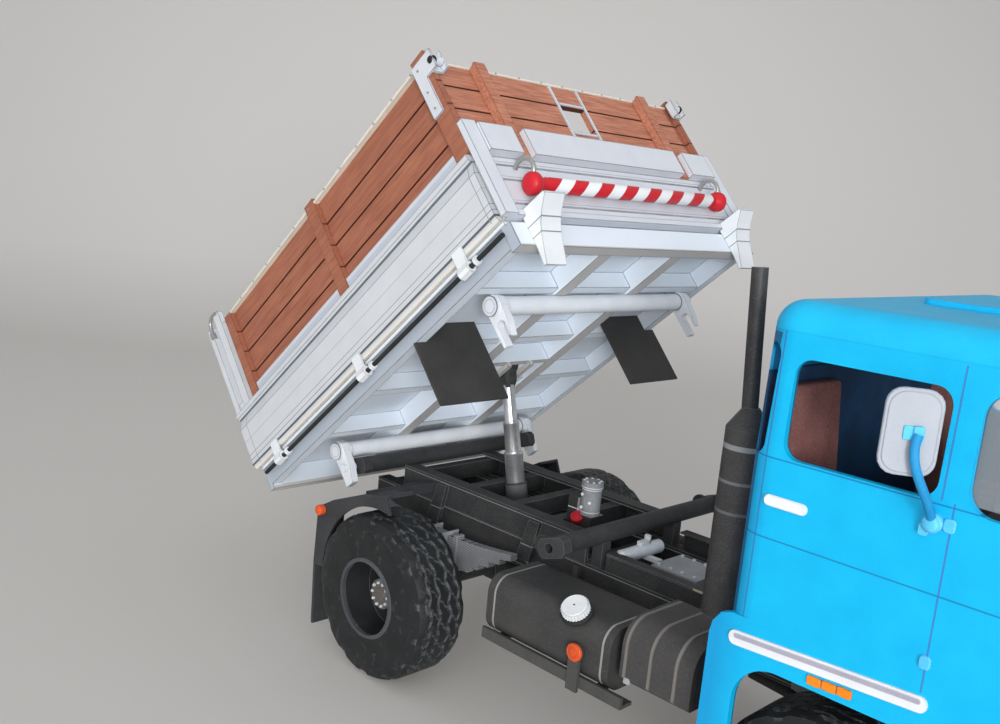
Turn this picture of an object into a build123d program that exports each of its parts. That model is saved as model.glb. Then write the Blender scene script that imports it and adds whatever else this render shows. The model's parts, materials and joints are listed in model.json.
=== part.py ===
"""Card scale model of a three-way tipper truck, bed raised to the rear.

Millimetres, +X towards the front bumper, +Y to the truck's left, +Z up. The origin lies on the
ground, midway between the front bumper and the rear edge of the raised bed.
"""
from build123d import *
from math import cos, sin, radians
import os

os.makedirs("parts", exist_ok=True)

# Overall arrangement
wheelbase = 122.4
bumper_reach = 36.0
tip_angle = 41.2
pivot_behind_axle = 25.4
pivot_height = 48.0
front_socket_ahead = 48.0
run_clearance = 0.3

# Wheels
tyre_radius = 21.5
tyre_width = 16.0
rim_radius = 10.5
rear_face = 47.3
front_face = 44.6
shoulder = 3.0
tyre_sides = 48
axle_radius = 1.6
hub_radius = 3.2

# Bed, in its own frame: u forward of the rear pivot, w above it
bed_rear = -26.3
bed_front = 95.2
bed_half = 47.4
wall = 1.6
sill_foot = 6.6
floor_top = 13.8
floor_plate = 1.2
side_top = 31.6
front_top = 37.9
boards_top = 58.1
post_top = 60.4
board = 1.4
board_half = 45.4
bed_tube_rise = 5.2
bed_tube_radius = 2.25
tube_radius = 2.25
tube_half = 38.2
socket_half = 32.6

# Chassis
rail_outer = 16.5
rail_depth = 8.0
rail_top = 40.0
rail_flange = 4.0
rail_wall = 1.0
subrail_outer = 17.5
subrail_top = 47.0
frame_rear = -36.0

# Tipping cylinder
ram_foot_x = 7.0
ram_foot_z = 36.0
ram_clearance = 0.08
trunnion_radius = 1.2

# Cab
cab_rear = wheelbase - 20.9
cab_half = 47.5
cab_skin = 1.4
cab_foot = 31.0
cab_belt = 87.0
cab_eaves = 108.0
cab_top = 113.2
cab_corner = 12.0
arch_top = 49.2

# The rear edge of the raised bed is its post's top corner
tilt = radians(tip_angle)
rear_reach = pivot_behind_axle - bed_rear * cos(tilt) + post_top * sin(tilt)
front_reach = wheelbase + bumper_reach
truck = Plane(origin=((rear_reach - front_reach) / 2, 0, 0))
pivot = truck.from_local_coords(Vector(-pivot_behind_axle, 0, pivot_height))
bed = Plane(origin=pivot, x_dir=(cos(tilt), 0, sin(tilt)), z_dir=(-sin(tilt), 0, cos(tilt)))


def side_view(frame, y=0.0):
    """Plane along a frame's length at y to its left: local x forward, local y up, facing right."""
    return Plane(origin=frame.from_local_coords(Vector(0, y, 0)), x_dir=frame.x_dir, z_dir=-frame.y_dir)


def cross_view(frame, x=0.0):
    """Plane across a frame at x: local x to the left, local y up, facing forward."""
    return Plane(origin=frame.from_local_coords(Vector(x, 0, 0)), x_dir=frame.y_dir, z_dir=frame.x_dir)


def slab(x0, x1, y0, y1, z0, z1, mode=Mode.ADD):
    """Block between two corners, in the frame of the part that is open."""
    with Locations(((x0 + x1) / 2, (y0 + y1) / 2, (z0 + z1) / 2)):
        Box(abs(x1 - x0), abs(y1 - y0), abs(z1 - z0), mode=mode)


def bar_across(x, z, radius, y0, y1, mode=Mode.ADD):
    """Round bar that lies across the truck between y0 and y1."""
    with Locations(Location((x, (y0 + y1) / 2, z), (90, 0, 0))):
        Cylinder(radius, abs(y1 - y0), mode=mode)


def save(piece, name):
    piece.part.label = name
    export_step(piece.part, f"parts/{name}.step")


# Ladder frame: two channels with their flanges inwards, cross-members and the cylinder's cradle
cradle_half = 7.0
cradle_wall = 1.6
frame_front = front_reach - 8.0
cross_table = (  # x, depth
    (-33.0, 6.5), (-14.0, 6.5), (14.0, 6.5), (43.0, 6.5), (cab_rear - 13.5, 2.6), (frame_front - 3.4, 6.5)
)
with BuildPart(truck) as chassis_frame:
    for side in (-1, 1):
        with BuildSketch(cross_view(truck, frame_rear)):
            with BuildLine():
                Polyline(
                    (side * rail_outer, rail_top),
                    (side * (rail_outer - rail_flange), rail_top),
                    (side * (rail_outer - rail_flange), rail_top - rail_wall),
                    (side * (rail_outer - rail_wall), rail_top - rail_wall),
                    (side * (rail_outer - rail_wall), rail_top - rail_depth + rail_wall),
                    (side * (rail_outer - rail_flange), rail_top - rail_depth + rail_wall),
                    (side * (rail_outer - rail_flange), rail_top - rail_depth),
                    (side * rail_outer, rail_top - rail_depth),
                    close=True,
                )
            make_face()
        extrude(amount=frame_front - frame_rear)
    for x, depth in cross_table:
        slab(x - 2.0, x + 2.0, -rail_outer + 0.5, rail_outer - 0.5, rail_top - depth, rail_top - 1.0)
    for side in (-1, 1):
        slab(
            cross_table[1][0], cross_table[2][0], side * (cradle_half - cradle_wall), side * cradle_half,
            ram_foot_z - 2.5, rail_top - 1.0,
        )
    bar_across(
        ram_foot_x, ram_foot_z, trunnion_radius + ram_clearance, -cradle_half - 1.0, cradle_half + 1.0,
        Mode.SUBTRACT,
    )
save(chassis_frame, "chassis_frame")

# Tipper subframe: two deeper channels on the ladder frame, cross-pieces and sloped gussets
subframe_rear = -pivot_behind_axle + tube_radius + 0.05
subframe_front = front_socket_ahead - tube_radius - 0.05
subframe_cross = (-20.0, -1.0, 16.0, 30.0)
gusset_stations = (-8.0, 27.0)
with BuildPart(truck) as tipper_subframe:
    for side in (-1, 1):
        with BuildSketch(cross_view(truck, subframe_rear)):
            with BuildLine():
                Polyline(
                    (side * subrail_outer, subrail_top),
                    (side * (subrail_outer - 4.2), subrail_top),
                    (side * (subrail_outer - 4.2), subrail_top - 1.0),
                    (side * (subrail_outer - 1.0), subrail_top - 1.0),
                    (side * (subrail_outer - 1.0), rail_top + 1.0),
                    (side * (subrail_outer - 4.2), rail_top + 1.0),
                    (side * (subrail_outer - 4.2), rail_top),
                    (side * subrail_outer, rail_top),
                    close=True,
                )
            make_face()
        extrude(amount=subframe_front - subframe_rear)
        for x in gusset_stations:
            with BuildSketch(side_view(truck, side * (subrail_outer + 0.6))):
                with BuildLine():
                    Polyline(
                        (x - 3.0, rail_top - 5.0), (x + 1.5, rail_top - 5.0), (x + 4.0, subrail_top - 1.0),
                        (x + 0.5, subrail_top - 1.0), close=True,
                    )
                make_face()
            extrude(amount=0.6, both=True)
    for x in subframe_cross:
        slab(x - 1.5, x + 1.5, -subrail_outer + 0.5, subrail_outer - 0.5, rail_top + 1.5, subrail_top - 1.0)
save(tipper_subframe, "tipper_subframe")

# Tip tubes: a round tube across each end of the subframe, with bored blocks near its tips. The
# blocks lean by half the bed's tipping angle, clear of the bed's own tube both lowered and raised.
block_length = 8.0
block_shift = 0.7
block_round = 1.0
block_lean = 19.5
block_thick = 2.6
socket_bore = 1.2
lug_radius = 2.2
lug_behind = 3.7
socket_stations = (-pivot_behind_axle, front_socket_ahead)
with BuildPart(truck) as tip_tubes:
    for x in socket_stations:
        bar_across(x, pivot_height, tube_radius, -socket_half, socket_half)
        for side in (-1, 1):
            y = side * socket_half
            with BuildSketch(side_view(truck, y)):
                with Locations(Location((x, pivot_height, 0), (0, 0, block_lean))):
                    with Locations((block_shift, 0)):
                        plate = Rectangle(block_length, 2 * tube_radius + 0.1)
                chamfer(plate.vertices(), block_round)
            extrude(amount=block_thick / 2, both=True)
            bar_across(x, pivot_height, socket_bore, y - side * block_thick / 2, y + side * 2, Mode.SUBTRACT)
    for side in (-1, 1):
        with BuildSketch(side_view(truck, side * (socket_half - 0.8))):
            with Locations((front_socket_ahead - lug_behind, pivot_height - 0.6)):
                Circle(lug_radius)
                Circle(0.9, mode=Mode.SUBTRACT)
        extrude(amount=0.4, both=True)
        slab(
            front_socket_ahead - 1.5, front_socket_ahead + 1.5, side * 13.0, side * 16.0,
            rail_top, pivot_height - tube_radius + 0.4,
        )
save(tip_tubes, "tip_tubes")

# Axles: a tube with its round drive case and stub ends
case_radius = 6.0
case_half = 3.4
case_offset = 2.0
axle_tube = 2.4
stub_end = 7.2
disc_depth = 11.2


def drive_case(x, y, radius):
    """Case round an axle's bevel gears, its axis along the truck."""
    with Locations(Location((x, y, tyre_radius), (0, 90, 0))):
        Cylinder(radius, 2 * case_half)


with BuildPart(truck) as rear_axle:
    bar_across(0, tyre_radius, axle_tube, -rear_face + disc_depth + 1.0, rear_face - disc_depth - 1.0)
    bar_across(0, tyre_radius, axle_radius, -rear_face + stub_end, rear_face - stub_end)
    drive_case(0, case_offset, case_radius)
save(rear_axle, "rear_axle")

kingpin_y = 30.4
kingpin_radius = 2.2
kingpin_height = 8.0
yoke_arm = 1.4
with BuildPart(truck) as front_axle:
    bar_across(wheelbase, tyre_radius, axle_tube, -kingpin_y + 4.2, kingpin_y - 4.2)
    drive_case(wheelbase, -case_offset, case_radius - 0.5)
    for side in (-1, 1):
        half = kingpin_height / 2 + run_clearance
        slab(
            wheelbase - 2.0, wheelbase + 2.0, side * (kingpin_y - 5.4), side * (kingpin_y - 4.0),
            tyre_radius - half - yoke_arm, tyre_radius + half + yoke_arm,
        )
        for lift in (-1, 1):
            z0 = tyre_radius + lift * half
            slab(
                wheelbase - 2.0, wheelbase + 2.0, side * (kingpin_y - 5.4), side * (kingpin_y + 1.6),
                z0, z0 + lift * yoke_arm,
            )
save(front_axle, "front_axle")

# Leaf springs: thick packs of flat leaves on saddles over the axles, with a clamp plate each side
spring_table = (  # axle x, y, width, half length
    (0.0, 22.4, 2.4, 27.0), (wheelbase, 18.6, 1.9, 22.0)
)
leaf_count = 5
leaf_thick = 1.6
leaf_rise = 2.2
spring_seat = tyre_radius + 5.6
clamp_x = 6.8
with BuildPart(truck) as leaf_springs:
    for x, y, width, reach in spring_table:
        for side in (-1, 1):
            for leaf in range(leaf_count):
                span = reach * (1.0 - 0.14 * (leaf_count - 1 - leaf))
                z = spring_seat + leaf * leaf_thick
                rise = leaf_rise * (span / reach) ** 2
                with BuildSketch(side_view(truck, side * y)):
                    with BuildLine():
                        low = ThreePointArc((x - span, z + rise), (x, z), (x + span, z + rise))
                        high = ThreePointArc(
                            (x - span, z + rise + leaf_thick), (x, z + leaf_thick), (x + span, z + rise + leaf_thick)
                        )
                        Line(low @ 0, high @ 0)
                        Line(low @ 1, high @ 1)
                    make_face()
                extrude(amount=width / 2, both=True)
            slab(
                x - clamp_x, x + clamp_x, side * (y - width / 2 + 0.3), side * (y + width / 2 - 0.3),
                tyre_radius + axle_tube + 0.02, spring_seat + 0.3,
            )
            for end in (-1, 1):
                slab(
                    x + end * clamp_x - 0.6, x + end * clamp_x + 0.6,
                    side * (y - width / 2), side * (y + width / 2 + 0.4),
                    spring_seat - 1.0, spring_seat + leaf_count * leaf_thick + 1.0,
                )
save(leaf_springs, "leaf_springs")

# Drive line: engine as one block, gearbox with its bolted top, and two propeller shafts
engine_front = wheelbase + 17.6
engine_rear = wheelbase - 21.8
engine_half = 10.0
gearbox_rear = front_socket_ahead + 2.0
gearbox_height = 31.5
transfer_height = 24.0
with BuildPart(truck) as engine_block:
    slab(engine_rear, engine_front, -engine_half, engine_half, 30.0, arch_top - 3.0)
save(engine_block, "engine_block")

bell_rear = gearbox_rear + 24.0
gearbox_table = (  # rear end, radius, length
    (gearbox_rear, 3.5, 6.0), (gearbox_rear + 5.9, 7.0, 18.2), (bell_rear, 5.5, engine_rear - 0.1 - bell_rear)
)
with BuildPart(truck) as gearbox:
    for x, radius, length in gearbox_table:
        with BuildSketch(cross_view(truck, x)):
            with Locations((0, gearbox_height)):
                Circle(radius)
        extrude(amount=length)
    slab(gearbox_rear + 7.0, gearbox_rear + 20.0, -6.0, 6.0, gearbox_height + 2.0, rail_top + 1.5)
save(gearbox, "gearbox")

shaft_radius = 1.3
with BuildPart(truck) as propeller_shafts:
    for x0, z0, x1, z1, y in (
        (case_half + 0.5, tyre_radius, gearbox_rear - 0.5, gearbox_height, case_offset),
        (bell_rear + 11.0, transfer_height, wheelbase - case_half - 0.5, tyre_radius, -case_offset),
    ):
        with BuildSketch(Plane(
            origin=truck.from_local_coords(Vector(x0, y, z0)), z_dir=(x1 - x0, 0, z1 - z0)
        )):
            Circle(shaft_radius)
        extrude(amount=((x1 - x0) ** 2 + (z1 - z0) ** 2) ** 0.5)
save(propeller_shafts, "propeller_shafts")

# Fuel tank on the right rail: pressed box with rounded edges, with its neck cap, rail and reflector
box_gap = 2.4
box_length = 17.1
box_front = cab_rear - 6.0
box_rear = box_front - box_length
tank_rear = 40.0
tank_front = box_rear - box_gap
tank_foot = 27.5
tank_crown = 41.2
tank_outer = 44.0
tank_inner = 25.0
tank_round = 4.0
strap_stations = (tank_rear + 3.5, tank_front - 3.5)
with BuildPart(truck) as fuel_tank:
    with BuildSketch(cross_view(truck, tank_rear)):
        with Locations((-(tank_outer + tank_inner) / 2, (tank_foot + tank_crown) / 2)):
            RectangleRounded(tank_outer - tank_inner, tank_crown - tank_foot, tank_round)
    extrude(amount=tank_front - tank_rear)
save(fuel_tank, "fuel_tank")

cap_x = tank_front - 11.0
cap_radius = 2.9
cap_angle = 58.0
rail_x = tank_front - 8.2
rail_depth_below = 1.2
rail_height = 2.6
rail_past_tank = 4.5
reflector_rise = 6.4
reflector_radius = 1.9
with BuildPart(truck) as tank_fittings:
    neck_point = Vector(
        cap_x,
        -tank_outer + tank_round * (1 - cos(radians(cap_angle))),
        tank_crown - tank_round * (1 - sin(radians(cap_angle))),
    )
    neck = Plane(
        origin=truck.from_local_coords(neck_point), x_dir=(1, 0, 0),
        z_dir=(0, -cos(radians(cap_angle)), sin(radians(cap_angle))),
    )
    with BuildSketch(neck.offset(0.02)):
        Circle(cap_radius - 0.7)
    extrude(amount=1.4)
    with BuildSketch(neck.offset(1.2)):
        Circle(cap_radius)
    extrude(amount=1.5)
    slab(
        tank_rear, tank_front + rail_past_tank, -tank_outer - 0.8, -tank_outer - 0.05,
        tank_foot - rail_depth_below, tank_foot - rail_depth_below + rail_height,
    )
    slab(
        tank_rear, tank_front + rail_past_tank, -tank_outer - 0.8, -tank_outer + 3.0,
        tank_foot - rail_depth_below, tank_foot - 0.4,
    )
    slab(
        rail_x - 1.5, rail_x + 1.5, -tank_outer - 1.4, -tank_outer - 0.7,
        tank_foot - rail_depth_below - 1.0, tank_foot + reflector_rise,
    )
    with BuildSketch(side_view(truck, -tank_outer - 1.4)):
        with Locations((rail_x, tank_foot + reflector_rise)):
            Circle(reflector_radius)
    extrude(amount=-0.7)
    for x in strap_stations:
        slab(x - 0.8, x + 0.8, -tank_outer, -rail_outer - 0.1, tank_foot - rail_depth_below, tank_foot - 0.02)
        slab(x - 0.8, x + 0.8, -rail_outer - 1.4, -rail_outer - 0.1, tank_foot - rail_depth_below, rail_top - 1.0)
save(tank_fittings, "tank_fittings")

# Box ahead of the tank
box_foot = 32.0
box_crown = 45.0
box_outer = 43.6
box_inner = 26.0
box_round = 6.0
with BuildPart(truck) as side_box:
    with BuildSketch(cross_view(truck, box_rear)):
        with Locations((-(box_outer + box_inner) / 2, (box_foot + box_crown) / 2)):
            RectangleRounded(box_outer - box_inner, box_crown - box_foot, box_round)
    extrude(amount=box_length)
    slab(box_rear + 5.0, box_front - 5.0, -box_inner - 0.5, -rail_outer - 0.1, box_foot + 2.0, rail_top - 1.0)
save(side_box, "side_box")

# Left side: two air reservoirs and a battery box on brackets from the rail
reservoir_radius = 5.5
reservoir_z = 33.0
reservoir_y = 25.5
reservoir_gap = 2.0
battery_outer = 43.0
battery_rear = box_rear + 1.6
battery_front = box_front + 0.5
reservoir_length = (battery_rear - tank_rear) / 2 - reservoir_gap
with BuildPart(truck) as air_reservoirs:
    for x0 in (tank_rear, tank_rear + reservoir_length + reservoir_gap):
        with BuildSketch(cross_view(truck, x0)):
            with Locations((reservoir_y, reservoir_z)):
                Circle(reservoir_radius)
        extrude(amount=reservoir_length)
        slab(
            x0 + reservoir_length / 2 - 1.5, x0 + reservoir_length / 2 + 1.5, rail_outer + 0.1,
            reservoir_y - 2.0, reservoir_z - 1.5, reservoir_z + 1.5,
        )
save(air_reservoirs, "air_reservoirs")

with BuildPart(truck) as battery_box:
    slab(battery_rear, battery_front, rail_outer + 1.5, battery_outer, 28.0, 43.0)
    fillet(battery_box.edges().filter_by(Axis.X), 1.5)
    slab(battery_rear + 4.0, battery_front - 4.0, rail_outer + 0.1, rail_outer + 1.6, 32.0, 39.0)
save(battery_box, "battery_box")

# Oil canister with its lid, on a dark pedestal with its valve box
canister_x = front_socket_ahead - 10.4
canister_y = -7.5
canister_radius = 2.5
canister_foot = 48.6
canister_top = 57.2
lid_radius = 2.75
lid_thick = 1.5
with BuildPart(truck) as oil_canister:
    with Locations((canister_x, canister_y, (canister_foot + canister_top) / 2)):
        Cylinder(canister_radius, canister_top - canister_foot)
    with Locations((canister_x, canister_y, canister_top - lid_thick / 2)):
        Cylinder(lid_radius, lid_thick)
    slab(
        canister_x - canister_radius, canister_x + canister_radius, canister_y - canister_radius,
        canister_y + canister_radius, rail_top + 0.02, canister_foot + 0.1,
    )
    slab(canister_x - 5.6, canister_x - 2.0, canister_y - 2.0, canister_y + 1.5, rail_top + 0.02, 52.6)
    slab(canister_x - 5.6, canister_x + 4.0, -13.2, canister_y + 4.0, rail_top + 0.02, rail_top + 1.0)
save(oil_canister, "oil_canister")

# Brake air cylinder that lies across the frame, just ahead of the front tip tube
brake_x = front_socket_ahead + 5.0
brake_z = 43.4
brake_radius = 1.7
with BuildPart(truck) as air_cylinder:
    bar_across(brake_x, brake_z, brake_radius, -13.0, 2.0)
    slab(brake_x - 1.0, gearbox_rear + 8.0, -5.0, -3.0, rail_top + 1.6, brake_z - 1.0)
save(air_cylinder, "air_cylinder")

# Exhaust: silencer upright behind the cab with a cone, a thin leaning pipe and a bracket to the rail
stack_x = cab_rear - 7.3
stack_y = -34.0
stack_radius = 1.57
stack_top = 117.0
stack_lean = 2.0
silencer_radius = 4.3
silencer_foot = 50.0
silencer_top = 87.0
cone_top = 91.0
with BuildPart(truck) as exhaust_stack:
    with BuildSketch(side_view(truck, stack_y)):
        with BuildLine():
            Polyline(
                (stack_x, silencer_foot), (stack_x + silencer_radius, silencer_foot),
                (stack_x + silencer_radius, silencer_top), (stack_x + stack_radius, cone_top),
                (stack_x, cone_top), close=True,
            )
        make_face()
    revolve(axis=Axis(truck.from_local_coords(Vector(stack_x, stack_y, 0)), (0, 0, 1)))
    pipe_foot = truck.from_local_coords(Vector(stack_x - 0.3, stack_y, cone_top - 1.0))
    pipe_length = ((stack_top - cone_top + 1.0) ** 2 + stack_lean ** 2) ** 0.5
    pipe = Plane(origin=pipe_foot, z_dir=(-stack_lean, 0, stack_top - cone_top + 1.0))
    with BuildSketch(pipe):
        Circle(stack_radius)
    extrude(amount=pipe_length)
    with BuildSketch(pipe.offset(pipe_length - 5.0)):
        Circle(stack_radius - 0.5)
    extrude(amount=6.0, mode=Mode.SUBTRACT)
    slab(stack_x - 2.5, stack_x + 0.5, stack_y, -rail_outer + 1.0, silencer_foot - 2.0, silencer_foot + 1.0)
    slab(stack_x - 2.5, stack_x + 0.5, -rail_outer - 1.2, -rail_outer + 1.0, rail_top, silencer_foot + 1.0)
save(exhaust_stack, "exhaust_stack")

# Rear mudguards: folded flats over the back of the wheel, an outer cheek cut round the tyre, and an arm
guard_inner = 36.0
guard_outer = 44.5
guard_thick = 0.8
guard_gap = 1.6
cheek_foot = 21.6
guard_line = (  # x, z
    (-26.0, 4.0), (-26.4, cheek_foot), (-25.6, 37.4), (-19.2, 41.0), (-7.0, 45.8), (2.4, 48.2)
)
guard_table = (  # side, points of the line, outline that the cheek adds, arm from and to
    (-1, guard_line, ((4.0, 44.0), (0.0, cheek_foot)), -13.0, -10.0),
    (1, guard_line[:4], ((-17.0, 36.0), (-17.0, cheek_foot)), -23.0, -20.0),
)
with BuildPart(truck) as rear_mudguards:
    for side, line, cheek_front, arm_rear, arm_front in guard_table:
        with BuildSketch(side_view(truck, side * (guard_inner + guard_outer) / 2)):
            with BuildLine():
                outline = Polyline(*line)
                offset(outline, amount=guard_thick, side=Side.LEFT)
            make_face()
        extrude(amount=(guard_outer - guard_inner) / 2, both=True)
        with BuildSketch(side_view(truck, side * (guard_outer - guard_thick / 2))) as cheek:
            with BuildLine():
                Polyline(*line[1:], *cheek_front, close=True)
            make_face()
            with Locations((0, tyre_radius)):
                Circle(tyre_radius + guard_gap, mode=Mode.SUBTRACT)
        extrude(amount=guard_thick / 2, both=True)
        arm_top = line[-2][1] - 0.6 if side < 0 else line[-1][1] - 1.2
        slab(
            arm_rear, arm_front, side * (subrail_outer + 0.05), side * (guard_inner + 3.0),
            arm_top - 2.4, arm_top,
        )
save(rear_mudguards, "rear_mudguards")

lamp_x = guard_line[2][0] + 1.4
lamp_z = guard_line[2][1] + 0.3
with BuildPart(truck) as tail_lamps:
    for side in (-1, 1):
        bar_across(lamp_x, lamp_z, 1.4, side * (guard_outer + 0.02), side * (guard_outer + 1.4))
save(tail_lamps, "tail_lamps")

# Cab: card skin folded round a rounded plan, its upper front leaning back, with windows and wheel arches
rear_round = 6.0
front_lean = 4.4
side_lean = 0.8
cab_front = wheelbase + 30.6
arch_rear = wheelbase - 16.4
arch_front = wheelbase + 24.2
arch_round = 8.0
front_foot = 41.0
window_rear = wheelbase - 13.5
window_front = wheelbase + 12.6
window_foot = 86.7
window_head = 103.9
window_round = 3.0
screen_rear = wheelbase + 17.1
screen_round = 4.0
slot_height = 96.0
slot_half = 9.7
slot_width = 4.4
skirt_behind = 1.7
skirt_top = 57.0


def cab_plan(plane, inset=0.0, lean=0.0, tuck=0.0):
    """Plan outline of the cab on a level plane, set in by a wall and leant back and in."""
    with BuildSketch(plane) as plan:
        with BuildLine():
            x0 = cab_rear + inset
            x1 = cab_front - inset - lean
            half = cab_half - inset - tuck
            Polyline((x0, -half), (x1, -half), (x1, half), (x0, half), close=True)
        make_face()
        corners = plan.vertices().sort_by(Axis.X)
        fillet(corners[:2], rear_round - inset)
        fillet(corners[2:], cab_corner - inset)
    return plan.sketch


with BuildPart(truck) as cab_body:
    for inset, mode in ((0.0, Mode.ADD), (cab_skin, Mode.SUBTRACT)):
        belt_plan = cab_plan(truck.offset(cab_belt), inset)
        eaves_plan = cab_plan(truck.offset(cab_eaves), inset, front_lean, side_lean)
        extrude(cab_plan(truck.offset(cab_foot), inset), amount=cab_belt - cab_foot, mode=mode)
        loft(sections=[belt_plan, eaves_plan], mode=mode)
    # flat side skirts that stand out behind the rounded rear corners
    for side in (-1, 1):
        with BuildSketch(side_view(truck, side * (cab_half - cab_skin / 2))):
            with BuildLine():
                Polyline(
                    (cab_rear - skirt_behind, cab_foot), (cab_rear + 8.0, cab_foot), (cab_rear + 8.0, skirt_top),
                    (cab_rear + 2.4, skirt_top), (cab_rear + 0.2, skirt_top - 0.8),
                    (cab_rear - skirt_behind + 0.4, skirt_top - 3.0), (cab_rear - skirt_behind, skirt_top - 5.0),
                    close=True,
                )
            make_face()
        extrude(amount=cab_skin / 2, both=True)
    # wheel arches, and the open front above the bumper's top edge
    with BuildSketch(side_view(truck)):
        with Locations(((arch_rear + arch_front) / 2, (arch_top + cab_foot) / 2 - 10.0)):
            RectangleRounded(arch_front - arch_rear, arch_top - cab_foot + 20.0, arch_round)
    extrude(amount=cab_half + 5.0, both=True, mode=Mode.SUBTRACT)
    slab(
        cab_rear - 1.0, arch_rear + 6.0, -cab_half + rear_round, cab_half - rear_round,
        cab_foot - 1.0, rail_top + 8.0, Mode.SUBTRACT,
    )
    slab(arch_front - 6.0, cab_front + 1.0, -cab_half - 1.0, cab_half + 1.0, cab_foot - 1.0, front_foot, Mode.SUBTRACT)
    # door windows
    with BuildSketch(side_view(truck)):
        with Locations(((window_rear + window_front) / 2, (window_foot + window_head) / 2)):
            RectangleRounded(window_front - window_rear, window_head - window_foot, window_round)
    extrude(amount=cab_half + 5.0, both=True, mode=Mode.SUBTRACT)
    # windscreen, wrapped round both front corners
    with BuildSketch(side_view(truck)):
        with Locations((cab_front, (window_foot + window_head) / 2)):
            RectangleRounded(2 * (cab_front - screen_rear), window_head - window_foot + 1.5, screen_round)
    extrude(amount=cab_half + 5.0, both=True, mode=Mode.SUBTRACT)
    # rear window and the upright slots in the rear corners
    with BuildSketch(cross_view(truck, cab_rear - 2.0)):
        with Locations((0, slot_height)):
            RectangleRounded(46.0, 14.0, window_round)
    extrude(amount=rear_round + 1.0, mode=Mode.SUBTRACT)
    corner_in = rear_round * (1 - cos(radians(45)))
    for side in (-1, 1):
        corner = truck.from_local_coords(Vector(cab_rear + corner_in, side * (cab_half - corner_in), slot_height))
        with BuildSketch(Plane(origin=corner, x_dir=(1, side, 0), z_dir=(-1, side, 0))):
            RectangleRounded(slot_width, 2 * slot_half, slot_width / 2 - 0.1)
        extrude(amount=3.0, both=True, mode=Mode.SUBTRACT)
save(cab_body, "cab_body")

# Roof: shallow pan with well rounded edges, the hatch's flat frame on top
roof_round = 0.95 * (cab_top - cab_eaves)
hatch_rear = wheelbase - 8.4
hatch_front = wheelbase + 13.6
hatch_half = 14.0
with BuildPart(truck) as cab_roof:
    extrude(cab_plan(truck.offset(cab_eaves), 0.0, front_lean, side_lean), amount=cab_top - cab_eaves)
    fillet(cab_roof.faces().sort_by(Axis.Z)[-1].edges(), roof_round)
    roof_hollow = cab_plan(truck.offset(cab_eaves), cab_skin + 3.0, front_lean, side_lean)
    extrude(roof_hollow, amount=cab_top - cab_eaves - cab_skin, mode=Mode.SUBTRACT)
    with BuildSketch(truck.offset(cab_top)):
        with Locations(((hatch_rear + hatch_front) / 2, 0)):
            RectangleRounded(hatch_front - hatch_rear, 2 * hatch_half, 2.0)
    extrude(amount=1.0)
save(cab_roof, "cab_roof")

# Cab floor with its engine tunnel, seats and the dashboard with its wheel
floor_z = arch_top + 2.0
tunnel_half = 11.5
tunnel_top = 66.0
with BuildPart(truck) as cab_floor:
    inner = cab_half - cab_skin - 0.1
    slab(cab_rear + cab_skin + 0.1, cab_front - 8.0, -inner + 4.0, inner - 4.0, floor_z, floor_z + 1.2)
    slab(cab_rear + cab_skin + 5.0, cab_front - 14.0, -inner, inner, floor_z, floor_z + 1.2)
    slab(cab_rear + 4.0, cab_front - 14.0, -tunnel_half, tunnel_half, floor_z, tunnel_top)
    slab(
        cab_rear + 5.0, cab_front - 15.0, -tunnel_half + 1.0, tunnel_half - 1.0,
        floor_z - 1.0, tunnel_top - 1.0, Mode.SUBTRACT,
    )
save(cab_floor, "cab_floor")

seat_y = 33.5
seat_half = 8.8
seat_rear = cab_rear + 1.7
cushion_top = floor_z + 19.5
seat_top = 98.0
with BuildPart(truck) as seats:
    for side in (-1, 1):
        with BuildSketch(side_view(truck, side * seat_y)):
            with BuildLine():
                Polyline(
                    (seat_rear + 3.0, floor_z + 1.3), (seat_rear + 22.0, floor_z + 1.3),
                    (seat_rear + 23.0, cushion_top + 1.5), (seat_rear + 6.0, cushion_top),
                    (seat_rear + 3.2, seat_top), (seat_rear, seat_top), (seat_rear + 0.6, cushion_top - 2.5),
                    close=True,
                )
            seat_face = make_face()
            fillet(seat_face.vertices().group_by(Axis.Y)[-1], 1.0)
        extrude(amount=seat_half, both=True)
save(seats, "seats")

dash_rear = cab_front - 15.0
dash_top = cab_belt - 1.0
dash_foot = floor_z + 10.8
steering_x = dash_rear - 3.0
steering_y = 30.0
steering_radius = 8.0
with BuildPart(truck) as dashboard:
    with BuildSketch(side_view(truck)):
        with BuildLine():
            Polyline(
                (dash_rear + 3.0, dash_foot), (cab_front - cab_skin - 0.6, dash_foot),
                (cab_front - cab_skin - 0.6, dash_top), (dash_rear + 2.0, dash_top), (dash_rear, dash_top - 4.0),
                close=True,
            )
        make_face()
    extrude(amount=cab_half - cab_corner - 1.0, both=True)
    with BuildSketch(Plane(
        origin=truck.from_local_coords(Vector(steering_x, steering_y, dash_top)), z_dir=(-0.5, 0, 0.87)
    )):
        Circle(steering_radius)
        Circle(steering_radius - 1.0, mode=Mode.SUBTRACT)
        Rectangle(2 * steering_radius - 1.0, 1.2)
        Circle(1.6)
    extrude(amount=1.0)
    with BuildSketch(Plane(
        origin=truck.from_local_coords(Vector(steering_x, steering_y, dash_top)), z_dir=(0.5, 0, -0.87)
    )):
        Circle(0.8)
    extrude(amount=12.0)
save(dashboard, "dashboard")

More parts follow.
